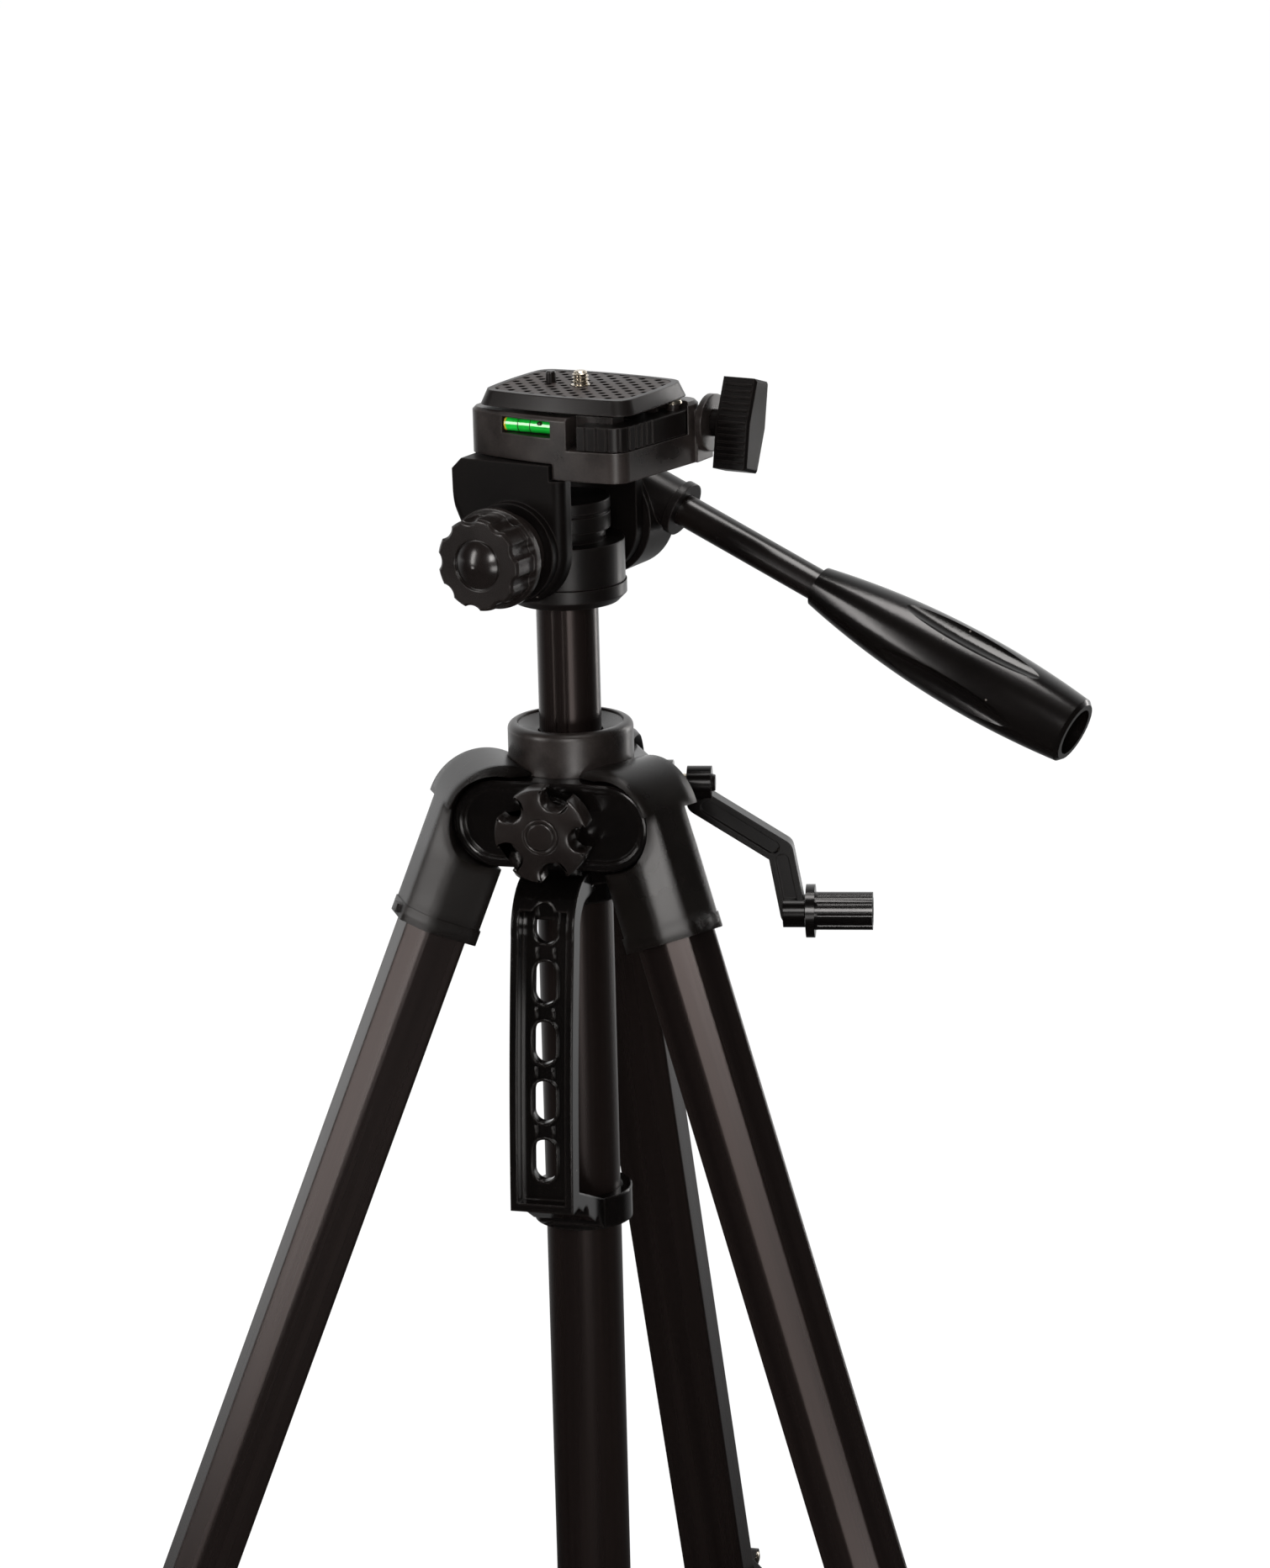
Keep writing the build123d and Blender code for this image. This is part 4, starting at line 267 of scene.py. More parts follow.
@dataclass(frozen=True)
class Finish:
    """A real material with the way its surface was made.

    Attributes:
        name: the material's name.
        slot: the record's slot that it belongs to.
        light: the lighter of the two colours that it varies between.
        dark: the darker one.
        roughness: lowest and highest roughness.
        metallic: 0 for plastics and rubber, 1 for bare metal.
        ior: index of refraction of its skin.
        specular: specular level.
        grain: how the surface was made.
        grain_mm: width of the grain.
        bump_mm: height of the grain.
        smear_mm: size of the cloudy marks that handling leaves.
        worn: colour of edges rubbed by use.
        edge: how far those edges go towards that colour.
        round_mm: radius of the edges as they were moulded or filed, 0 for a piece without edges.
        lint: brightness of the specks of dust that cling to it.
        coat: weight of a clear layer.
        dimples_mm: spacing of oval dimples along and across, 0 for none; their floors get painted shade.
        lean: turn of the pattern's coordinates in degrees, for a piece that lies at a slant.
    """

    name: str
    slot: Slot
    light: str
    dark: str
    roughness: Pair = (0.3, 0.4)
    metallic: float = 0.0
    ior: float = 1.5
    specular: float = 0.5
    grain: Grain = Grain.MOULDED
    grain_mm: float = 0.6
    bump_mm: float = 0.02
    smear_mm: float = 38.0
    worn: str = "5a5350"
    edge: float = 0.3
    round_mm: float = 0.5
    lint: float = 0.0
    coat: float = 0.0
    dimples_mm: Pair = (0.0, 0.0)
    lean: Triple = (0.0, 0.0, 0.0)

    def material(self) -> bpy.types.Material:
        """Build the node material, or give back the one already built.

        Returns:
            The material.
        """
        made = bpy.data.materials.get(self.name)
        if made:
            return made
        mat = bpy.data.materials.new(self.name)
        graph = Graph(mat)
        coords = graph.add("TexCoord").outputs["Object"]
        slant = tuple(math.radians(angle) for angle in self.lean)
        pattern = {"vector_type": "TEXTURE", "Rotation": slant}
        place = graph.add("Mapping", pattern, Vector=coords).outputs["Vector"]
        squeeze = graph.add("Mapping", {"Scale": self.grain.value}, Vector=place).outputs["Vector"]
        fine, cloud = [
            graph.add("TexNoise", {"Scale": 1 / (size * MM), "Detail": detail}, Vector=squeeze).outputs["Fac"]
            for size, detail in ((self.grain_mm, 4.0), (self.smear_mm, 5.0))]
        if self.round_mm:
            rounded = graph.add("Bevel", {"samples": 4, "Radius": self.round_mm * MM}).outputs["Normal"]
        else:
            rounded = graph.add("NewGeometry").outputs["Normal"]
        bump = graph.add("Bump", {"Strength": 0.6, "Distance": self.bump_mm * MM}, Height=fine, Normal=rounded)
        body = self.colour(graph, coords, fine, cloud, rounded)
        shader = graph.add(
            "BsdfPrincipled",
            {"Metallic": self.metallic, "IOR": self.ior, "Specular IOR Level": self.specular,
             "Coat Weight": self.coat},
            Base_Color=body, Roughness=graph.remap(cloud, MARK_SPAN, self.roughness),
            Normal=bump.outputs["Normal"])
        # Dimple floors are painted near black and lose their specular level, as painted shade in the hollows;
        # the bump gives their real depth.
        if self.dimples_mm[0]:
            pits = self.dimples(graph, place)
            dents = graph.add("Bump", {"Strength": 1.0, "Distance": DIMPLE_DEPTH * MM}, Height=pits,
                              Normal=bump.outputs["Normal"])
            gleam = graph.add("Math", {"operation": "MULTIPLY", 1: self.specular}, in_0=pits)
            for name, output in (("Base Color", graph.blend(pits, DIMPLE_PAINTED_SHADE, body)),
                                 ("Normal", dents.outputs["Normal"]),
                                 ("Specular IOR Level", gleam.outputs["Value"])):
                graph.tree.links.new(output, shader.inputs[name])
        graph.add("OutputMaterial", Surface=shader.outputs["BSDF"])
        return mat

    def dimples(self, graph: Graph, place: Socket) -> Socket:
        """Draw staggered rows of ovals.

        Args:
            graph: the material's nodes.
            place: the pattern's coordinates.

        Returns:
            0 in an oval and 1 between them.
        """
        along, across = self.dimples_mm
        pitch = (1 / (along * MM), 1 / (across * MM), 0.0)
        rows = []
        for offset in (0.0, 0.5):
            vector = place
            for step in ({"operation": "MULTIPLY_ADD", 1: pitch, 2: (offset, offset, 0.0)},
                         {"operation": "FRACTION"}, {"operation": "SUBTRACT", 1: (0.5, 0.5, 0.0)}):
                vector = graph.add("VectorMath", step, in_0=vector).outputs["Vector"]
            rows.append(graph.add("VectorMath", {"operation": "LENGTH"}, in_0=vector).outputs["Value"])
        nearest = graph.add("Math", {"operation": "MINIMUM"}, in_0=rows[0], in_1=rows[1])
        return graph.remap(nearest.outputs["Value"], DIMPLE_SPAN)

    def colour(self, graph: Graph, coords: Socket, fine: Socket, cloud: Socket, rounded: Socket) -> Socket:
        """Mix the colour: cloudy tint, rubbed edges and clinging specks.

        Args:
            graph: the material's nodes.
            coords: texture coordinates.
            fine: the grain's noise.
            cloud: the handling marks' noise.
            rounded: the normal with rounded edges.

        Returns:
            The colour.
        """
        share = graph.add("Math", {"operation": "MULTIPLY_ADD", 1: GRAIN_SHARE}, in_0=fine, in_2=cloud)
        tint = graph.blend(graph.remap(share.outputs["Value"], TINT_SPAN), self.dark, self.light)
        flat = graph.add("NewGeometry").outputs["Normal"]
        facing = graph.add("VectorMath", {"operation": "DOT_PRODUCT"}, in_0=rounded, in_1=flat)
        rubbed = graph.remap(facing.outputs["Value"], EDGE_SPAN, (0.0, self.edge))
        body = graph.blend(rubbed, tint, self.worn)
        if not self.lint:
            return body
        speck = graph.add("TexVoronoi", {"Scale": 1 / (SPECK_PITCH * MM)}, Vector=coords)
        near = graph.remap(speck.outputs["Distance"], SPECK_SPAN, (0.0, self.lint))
        return graph.blend(near, body, DUST)


# Moulded ABS from a polished tool: deep black, clear soft reflections, slight orange peel.
GLOSS = Finish(
    "polished_abs", Slot.GLOSS, "0e0b0a", "070606", (0.1, 0.18), grain_mm=1.6, bump_mm=0.006,
    edge=0.12, round_mm=1.4, lint=0.35)
# Polished ABS without the orange peel: a grip that is round all over, and a thin arm.
GRIP = Finish(
    "polished_grip_abs", Slot.GLOSS, "0e0b0a", "070606", (0.16, 0.24), specular=0.42,
    grain_mm=1.6, bump_mm=0.0005, edge=0.0, round_mm=0.0, lint=0.3)
ARM = Finish(
    "polished_arm_abs", Slot.GLOSS, "0e0b0a", "070606", (0.16, 0.24), specular=0.2,
    grain_mm=1.6, bump_mm=0.0005, edge=0.1, lint=0.3)
# Moulded ABS from a spark-eroded tool: dull black with an even grain, drawn at twice its width to show.
SATIN = Finish(
    "spark_grained_abs", Slot.SATIN, "151110", "0b0909", (0.3, 0.42), specular=0.32,
    grain_mm=0.8, bump_mm=0.03, edge=0.2, round_mm=0.8, lint=0.25)
# Spark-grained ABS with a shallow grain for the knobs, painted paler than the satin ABS as painted light.
KNOB = Finish(
    "fine_grained_abs", Slot.SATIN, "221d1b", "151110", (0.2, 0.28), grain_mm=0.8,
    bump_mm=0.01, edge=0.15, round_mm=0.8, lint=0.25)
# Spark-grained ABS with a shallow grain and broad round edges: the caps over the legs.
CAP = Finish(
    "cap_grained_abs", Slot.SATIN, "15110f", "0b0908", (0.24, 0.34), specular=0.32,
    grain_mm=0.9, bump_mm=0.01, edge=0.05, round_mm=5.0, lint=0.25)
# Spark-grained ABS in large paler patches at random, painted paler overall than the satin ABS as painted light.
PATCHY_PALE = Finish(
    "patchy_abs_painted_light", Slot.SATIN, "342e2c", "141110", (0.24, 0.38), grain_mm=0.8,
    smear_mm=16.0, edge=0.25, round_mm=0.9, lint=0.25)
# Spark-grained ABS with a coarse, dull grain, painted darker and given less specular than the satin ABS, as
# painted shade on the tilt bracket and the wing knob.
DULL_SHADED = Finish(
    "coarse_grained_abs", Slot.SATIN, "100d0c", "080606", (0.36, 0.48), specular=0.1,
    grain_mm=0.9, edge=0.15, round_mm=0.8, lint=0.2)
# Drawn aluminium dyed dark bronze: long die lines, drawn coarser than real to show, under a thin oxide skin.
TUBE = Finish(
    "bronze_anodised_aluminium", Slot.TUBE, "2b2321", "1d1716", (0.22, 0.32), 0.55, specular=0.4,
    grain=Grain.DRAWN, grain_mm=0.8, bump_mm=0.006, smear_mm=9.0, edge=0.1, round_mm=1.4,
    worn="6a5e58")
# Stoved black paint on steel: smooth, slightly uneven film.
STEEL = Finish(
    "black_stoved_steel", Slot.STEEL, "16110f", "0d0a0a", (0.22, 0.32), grain_mm=1.2,
    bump_mm=0.006, edge=0.2, round_mm=0.4)
# The same paint on a rod, which has no edges.
ROD = Finish(
    "black_stoved_rod", Slot.STEEL, "16110f", "0d0a0a", (0.24, 0.32), grain_mm=1.2,
    bump_mm=0.0005, edge=0.0, round_mm=0.0)
# Nickel plate on turned steel: bright and slightly warm, with faint turning rings.
NICKEL = Finish(
    "nickel_plate", Slot.BRIGHT, "d6cdbd", "b3a999", (0.18, 0.3), 1.0, grain=Grain.TURNED,
    grain_mm=0.4, bump_mm=0.004, edge=0.0, round_mm=0.15)
# Moulded rubber: brown-black, matt, with a dusty bloom.
RUBBER = Finish(
    "moulded_rubber", Slot.RUBBER, "1f1918", "120f0e", (0.5, 0.66), specular=0.4,
    grain_mm=0.7, bump_mm=0.03, edge=0.2, lint=0.2)
# The same rubber moulded with staggered rows of oval dimples, square to the head, the dimples' floors painted
# near black as painted shade.
PAD = Finish(
    "dimpled_rubber", Slot.RUBBER, "3b322f", "2a2321", (0.45, 0.6), specular=0.4,
    grain_mm=0.7, bump_mm=0.03, edge=0.0, round_mm=0.0, dimples_mm=(7.0, 7.6),
    lean=(0.0, 0.0, PAN_ANGLE))
# Acrylic vial full of dyed spirit: saturated green under a clear skin.
SPIRIT = Finish(
    "dyed_spirit_in_acrylic", Slot.LEVEL, "1fd94a", "0fae30", (0.05, 0.09), ior=1.49,
    grain_mm=5.0, bump_mm=0.0, smear_mm=6.0, edge=0.0, round_mm=0.2, coat=0.6)
# Air bubble: its curved skin turns light away, so it reads dark in the green; that shade is painted into its
# dark olive colour.
PAINTED_DARK_BUBBLE = Finish(
    "air_in_spirit", Slot.LEVEL, "2c3a1c", "17200f", (0.04, 0.08), ior=1.3,
    grain_mm=2.0, bump_mm=0.0, smear_mm=3.0, edge=0.0, round_mm=0.1, coat=0.8)
# Yellow acrylic plug that closes the vial.
PLUG = Finish(
    "yellow_acrylic", Slot.LEVEL, "d8c23a", "a08a1e", (0.1, 0.2), ior=1.49,
    grain_mm=2.0, bump_mm=0.004, smear_mm=4.0, edge=0.0, round_mm=0.2)


def around(verts: Sequence, kind: str) -> list:
    """List the edges or faces round some vertices, each once.

    Args:
        verts: the vertices.
        kind: "link_edges" or "link_faces".

    Returns:
        The edges or faces.
    """
    return list(dict.fromkeys(part for vert in verts for part in getattr(vert, kind)))


class Shape:
    """A mesh under construction, in millimetres of a local frame."""

    def __init__(self) -> None:
        """Start empty."""
        self.mesh = bmesh.new()

    def added(self, before: set) -> list:
        """List what was added since a moment.

        Args:
            before: the vertices at that moment.

        Returns:
            The added vertices.
        """
        return [v for v in self.mesh.verts if v not in before]

    def settle(self, before: set, place: Matrix) -> None:
        """Move what was added since a moment to its place.

        Args:
            before: the vertices at that moment.
            place: where the addition goes.
        """
        bmesh.ops.transform(self.mesh, matrix=place, verts=self.added(before))

    def stretch(self, before: set, axis: int, half: float) -> None:
        """Pull a ring apart into a long one with round ends.

        Args:
            before: the vertices before the ring was made.
            axis: 0 to pull along X, 1 along Y.
            half: how far each half moves.
        """
        for end in (1, -1):
            move = Vector((0, 0, 0))
            move[axis] = end * half
            side = [v for v in self.added(before) if v.co[axis] * end > 1e-4]
            bmesh.ops.translate(self.mesh, verts=side, vec=move)

    def extrude(self, faces: Sequence, rise: float) -> None:
        """Draw faces out along Z, with walls behind them.

        Args:
            faces: the faces.
            rise: how far.
        """
        grown = bmesh.ops.extrude_face_region(self.mesh, geom=faces)["geom"]
        ends = [part for part in grown if isinstance(part, bmesh.types.BMVert)]
        bmesh.ops.translate(self.mesh, verts=ends, vec=(0, 0, rise))

    def ease(self, verts: Sequence, radius: float) -> None:
        """Round all edges of a block.

        Args:
            verts: the block's vertices.
            radius: radius of the edges.
        """
        bmesh.ops.bevel(self.mesh, geom=around(verts, "link_edges"), offset=radius, offset_type="OFFSET",
                        segments=2, profile=0.5, affect="EDGES", material=-1)

    def lathe(self, outline: Sequence[Pair], place: Matrix = HERE, steps: int = 40) -> Shape:
        """Turn an outline of radius and height about Z.

        Args:
            outline: points from one end to the other.
            place: where the turned shape goes.
            steps: faces round it.

        Returns:
            This shape.
        """
        before = set(self.mesh.verts)
        verts = [self.mesh.verts.new((r, 0, z)) for r, z in outline]
        edges = [self.mesh.edges.new(pair) for pair in zip(verts, verts[1:])]
        bmesh.ops.spin(self.mesh, geom=verts + edges, cent=(0, 0, 0), axis=(0, 0, 1), angle=TAU, steps=steps,
                       use_merge=True)
        self.settle(before, place)
        return self

    def dome(self, radius: float, rise: float, foot: float, place: Matrix) -> None:
        """Add a rivet head: round cap with a straight foot below it.

        Args:
            radius: radius of the head.
            rise: height of the cap.
            foot: depth of the foot.
            place: where the head goes, its seat at height 0.
        """
        cap = [(radius * math.cos(a), rise * math.sin(a)) for a in (i * math.pi / 12 for i in range(6))]
        self.lathe([(0, -foot), (radius * 0.9, -foot), *cap, (0, rise)], place, 28)

    def bar(self, size: Triple, place: Matrix, edge: float) -> None:
        """Add a block with rounded edges, centred on its place.

        Args:
            size: length along X, Y and Z.
            place: where it goes.
            edge: radius of its edges.
        """
        before = set(self.mesh.verts)
        verts = bmesh.ops.create_cube(self.mesh, size=1.0)["verts"]
        bmesh.ops.scale(self.mesh, verts=verts, vec=size)
        self.ease(verts, edge)
        self.settle(before, place)

    def slotted_head(self, radius: float, height: float, slot: float, place: Matrix) -> Shape:
        """Add a screw head with a straight slot.

        Args:
            radius: radius at its seat.
            height: height over its seat.
            slot: width of the slot, which is 0.7 times as deep unless the head is too low for that.
            place: where the head goes, its seat at height 0.

        Returns:
            This shape.
        """
        before = set(self.mesh.verts)
        bmesh.ops.create_cone(self.mesh, cap_ends=True, segments=32, radius1=radius, radius2=radius * 0.86,
                              depth=height, matrix=shift(0, 0, height / 2))
        for side in (1, -1):
            verts = self.added(before)
            geom = [*verts, *around(verts, "link_edges"), *around(verts, "link_faces")]
            bmesh.ops.bisect_plane(self.mesh, geom=geom, plane_co=(0, side * slot / 2, 0),
                                   plane_no=(0, side, 0), dist=1e-5)
        top = [face for face in around(self.added(before), "link_faces")
               if face.normal.z > 0.99 and abs(face.calc_center_median().y) < slot / 2]
        self.extrude(top, -min(slot * 0.7, height * 0.6))
        self.settle(before, place)
        return self

    def thread(self, core: float, crest: float, pitch: float, low: float, high: float, place: Matrix) -> None:
        """Add a pointed ridge wound round Z.

        Args:
            core: radius that the ridge stands on.
            crest: radius of its edge.
            pitch: rise of one turn.
            low: height of its start.
            high: height of its end.
            place: where it goes.
        """
        before = set(self.mesh.verts)
        root, half, flat = core - 0.15, pitch * 0.44, 0.05
        corners = ((root, -half), (crest, -flat), (crest, flat), (root, half))
        verts = [self.mesh.verts.new((r, 0, low + z)) for r, z in corners]
        face = self.mesh.faces.new(verts)
        turns = (high - low) / pitch
        steps = 28
        bmesh.ops.spin(self.mesh, geom=[face, *face.edges, *verts], cent=(0, 0, 0), axis=(0, 0, 1),
                       dvec=(0, 0, pitch / steps), angle=TAU * turns, steps=round(steps * turns))
        self.settle(before, place)

    def piece(self, name: str, frame: Matrix, body: str, finish: Finish, hides: Sequence[str] = ()) -> None:
        """Close the mesh and make it a piece that rides on a body.

        Args:
            name: the piece's name.
            frame: the local frame, in millimetres.
            body: the body that carries it.
            finish: its finish.
            hides: solids that it stands for.
        """
        bmesh.ops.remove_doubles(self.mesh, verts=self.mesh.verts, dist=1e-3)
        bmesh.ops.recalc_face_normals(self.mesh, faces=self.mesh.faces)
        bmesh.ops.transform(self.mesh, matrix=Matrix.Scale(MM, 4) @ frame, verts=self.mesh.verts)
        data = bpy.data.meshes.new(name)
        self.mesh.to_mesh(data)
        self.mesh.free()
        data.shade_smooth()
        data.set_sharp_from_angle(angle=math.radians(CREASE))
        data.materials.append(finish.material())
        obj = bpy.data.objects.new(name, data)
        bpy.context.scene.collection.objects.link(obj)
        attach(obj, body)
        if hides:
            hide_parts(*hides)
        LOG.info("%s rides on %s", name, body)


class Assembly:
    """A group of pieces that are dressed, and fitted with small hardware, together.

    Attributes:
        skins: names of the solids that have each finish.
    """

    skins: dict[Finish, Sequence[str]] = {}

    def dress(self, frame: Frame) -> None:
        """Give the solids their finishes.

        Args:
            frame: the loaded frame.
        """
        for finish, names in self.skins.items():
            for name in names:
                slots = frame["nodes"][name].data.materials
                slots.clear()
                slots.append(finish.material())

    def build(self) -> None:
        """Add the small hardware. A plain assembly has none."""


@dataclass
class Legs(Assembly):
    """The three telescoping legs with their caps, clamps, levers and feet.

    Attributes:
        pivot_x: lever pivots of the upper and middle clamps from the leg's centre line.
        pivot_drop: the same pivots down the leg.
        ear: outer face of a clamp's ears from the leg's middle.
        head: radius, rise and foot of the pivot's rolled-over head.
    """

    pivot_x: Pair = (19.5, 18.0)
    pivot_drop: Pair = (457.0, 501.0)
    ear: float = 10.9
    head: Triple = (2.6, 1.0, 0.3)

    def dress(self, frame: Frame) -> None:
        """Give each leg its finishes, with the tubes' die lines along the leg.

        Args:
            frame: the loaded frame.
        """
        for name, azimuth in LEG_AZIMUTHS.items():
            tube = replace(TUBE, name=f"{TUBE.name}_{name}", lean=(0.0, -LEG_SPLAY, azimuth))
            parts = {tube: ["upper_tube", "middle_tube", "lower_tube"], CAP: ["cap"], RUBBER: ["foot"],
                     SATIN: ["upper_clamp", "upper_lever", "middle_clamp", "middle_lever"]}
            self.skins = {finish: [f"{name}_leg_{part}" for part in made] for finish, made in parts.items()}
            super().dress(frame)

    def build(self) -> None:
        """Put the rolled-over heads on the lever pivots."""
        clamps = list(zip(("upper", "middle"), ("leg", "middle_section"), self.pivot_x, self.pivot_drop))
        for name, azimuth in LEG_AZIMUTHS.items():
            for part, body, x, drop in clamps:
                heads = Shape()
                for side in (1, -1):
                    heads.dome(*self.head, shift(x, side * self.ear, -drop) @ turn("X", -90 * side))
                heads.piece(f"{name}_{part}_pivot_heads", leg_frame(azimuth), f"{name}_{body}", NICKEL)


@dataclass
class Brace(Assembly):
    """Sliding hub and the three channel arms.

    Attributes:
        pin_inset: leg pin inside the leg's centre line.
        pin_drop: leg pin down the leg.
        bore: radius of the push-on clips' hole.
        clip: radius of the clips.
        clip_start: inner face of a clip from the arm's middle.
        clip_width: thickness of a clip at its rim.
    """

    pin_inset: float = 30.4
    pin_drop: float = 459.2
    bore: float = 1.9
    clip: float = 5.0
    clip_start: float = 5.5
    clip_width: float = 0.7

    skins = {SATIN: ["brace_hub"], NICKEL: ["brace_hub_pins"],
             STEEL: [f"{name}_brace_arm" for name in LEG_AZIMUTHS]}

    def build(self) -> None:
        """Put push-on clips on the leg pins that the arms slide on."""
        bore, clip, rim = self.bore, self.clip, self.clip_width
        outline = [(bore, 0), (clip, 0), (clip, rim * 0.6), (clip - 0.5, rim), (bore + 1.1, rim + 0.2),
                   (bore + 0.7, rim + 0.8), (bore, rim + 0.8), (bore, 0)]
        for name, azimuth in LEG_AZIMUTHS.items():
            clips = Shape()
            for side in (1, -1):
                place = shift(-self.pin_inset, side * self.clip_start, -self.pin_drop) @ turn("X", -90 * side)
                clips.lathe(outline, place, 32)
            clips.piece(f"{name}_brace_clips", leg_frame(azimuth), f"{name}_leg", NICKEL)


@dataclass
class Shoulder(Assembly):
    """Shoulder casting with its collar, hinge pins and star knob.

    Attributes:
        face: front face of the star knob from the column's axis.
        thickness: thickness of the star.
        radius: radius of the star over its lobes.
        lobes: number of lobes.
        first: angle of the first lobe, degrees.
        notch: radius and depth of the notches between lobes.
        edge: radius of the star's edges.
        button: radius and crown of the knob's button.
        neck: radius of the neck, and its end.
        screw: radius of the screw, and its end.
        web: web face from the column's axis, half length and radius of its rim.
        web_azimuths: directions of the webs, degrees.
        bead: width, height and depth in the web of the rounded rim.
        bush: outline of the dished bush in the collar's mouth.
    """

    face: float = 46.0
    thickness: float = 11.0
    radius: float = 18.5
    lobes: int = 5
    first: float = 34.0
    notch: Pair = (5.0, 7.6)
    edge: float = 1.2
    button: Pair = (5.5, 0.9)
    neck: Pair = (8.5, 31.4)
    screw: Pair = (3.0, 12.4)
    web: Triple = (31.0, 21.36, 15.2)
    web_azimuths: Triple = (270.0, 30.0, 150.0)
    bead: Triple = (3.4, 0.8, 0.3)
    bush: Sequence[Pair] = ((12.6, 31.0), (20.5, 31.0), (20.5, 39.4), (19.8, 39.4), (14.6, 36.6), (12.6, 36.2),
                            (12.6, 31.0))

    skins = {GLOSS: ["spider_body", "column_lock_knob"], PATCHY_PALE: ["column_collar"],
             NICKEL: ["leg_pivot_pins"]}

    def path(self) -> list[Vector]:
        """Walk round the star: for each lobe its rim, then the notch after it, with eased corners.

        Returns:
            The points, anticlockwise.
        """
        hole, depth = self.notch
        centre = self.radius - depth + hole
        half = math.pi / self.lobes
        meet = math.acos((self.radius ** 2 + centre ** 2 - hole ** 2) / (2 * self.radius * centre))
        bend = math.atan2(self.radius * math.sin(meet), self.radius * math.cos(meet) - centre)
        rim_steps, notch_steps = 12, 32
        points = []
        for i in range(self.lobes):
            lobe = math.radians(self.first) + 2 * half * i
            rim = [lobe + (half - meet) * k / rim_steps for k in range(-rim_steps, rim_steps)]
            points += [Vector((self.radius * math.cos(a), self.radius * math.sin(a))) for a in rim]
            middle = Vector((centre * math.cos(lobe + half), centre * math.sin(lobe + half)))
            arc = [lobe + half + TAU - bend - (TAU - 2 * bend) * k / notch_steps for k in range(notch_steps)]
            points += [middle + hole * Vector((math.cos(a), math.sin(a))) for a in arc]
        ease = range(-2, 3)
        return [sum((points[(i + j) % len(points)] for j in ease), Vector((0, 0))) / len(ease)
                for i in range(len(points))]

    def outline(self, inset: float) -> list[Pair]:
        """Draw the star's outline in by some distance.

        Args:
            inset: the distance.

        Returns:
            Points round the star.
        """
        points = self.path()
        inner = []
        for i, point in enumerate(points):
            along = (points[(i + 1) % len(points)] - points[i - 1]).normalized()
            inner.append(tuple(point + inset * Vector((-along.y, along.x))))
        return inner

    def build_star(self) -> None:
        """Make the star knob: lobed head with rounded edges, grooved button, neck and screw."""
        star = Shape()
        mesh = star.mesh
        edge, top = self.edge, self.thickness
        corner = edge * 0.29
        loops = []
        for inset, height in ((edge, 0.0), (0.0, edge), (0.0, top - edge), (corner, top - corner), (edge, top)):
            loops.append([mesh.verts.new((*point, height)) for point in self.outline(inset)])
        for lower, upper in zip(loops, loops[1:]):
            for i in range(len(lower)):
                mesh.faces.new((lower[i - 1], lower[i], upper[i], upper[i - 1]))
        bmesh.ops.triangulate(mesh, faces=[mesh.faces.new(loops[0][::-1]), mesh.faces.new(loops[-1])])
        radius, crown = self.button
        groove, ridge = radius + 1.5, top + 0.5
        star.lathe([(groove, top + 0.02), (groove - 0.4, ridge), (radius + 0.4, ridge), (radius, top + 0.05),
                    (radius - 0.6, top + crown * 0.7), (radius * 0.5, top + crown), (0, top + crown)])
        back = self.face - top
        for radius, end in (self.neck, self.screw):
            star.lathe([(0, 0.5), (radius, 0.5), (radius, end - back), (0, end - back)])
        place = SHOULDER @ shift(0, -back, HINGE_RISE) @ turn("X", 90)
        star.piece("star_knob", place, "column_lock", KNOB, hides=["column_lock_knob"])

    def build_rims(self) -> None:
        """Round the rims of the three webs with beads."""
        face, half, radius = self.web
        width, height, depth = self.bead
        steps = 32
        angles = [i * math.pi / 8 for i in range(9)]
        arc = [(radius + width / 2 * math.cos(a), height * math.sin(a)) for a in angles]
        outline = [*arc, (radius - width / 2, -depth), (radius + width / 2, -depth), arc[0]]
        beads = Shape()
        for azimuth in self.web_azimuths:
            before = set(beads.mesh.verts)
            beads.lathe(outline, turn("Z", 180.0 / steps), steps)
            beads.stretch(before, 0, half)
            web = turn("Z", azimuth) @ shift(face, 0, HINGE_RISE)
            beads.settle(before, web @ turn("Y", 90) @ turn("Z", 90))
        beads.piece("web_rims", SHOULDER, "shoulder", GLOSS)

    def build(self) -> None:
        """Make the star knob, the rims of the webs and the dished bush in the collar."""
        self.build_star()
        self.build_rims()
        bush = Shape().lathe(self.bush, steps=64)
        bush.piece("collar_bush", SHOULDER, "shoulder", PATCHY_PALE)


class Column(Assembly):
    """Geared centre column in its guide tube."""

    skins = {TUBE: ["guide_tube", "centre_column"],
             SATIN: ["tube_end_cap", "column_end_bush", "pan_base"]}


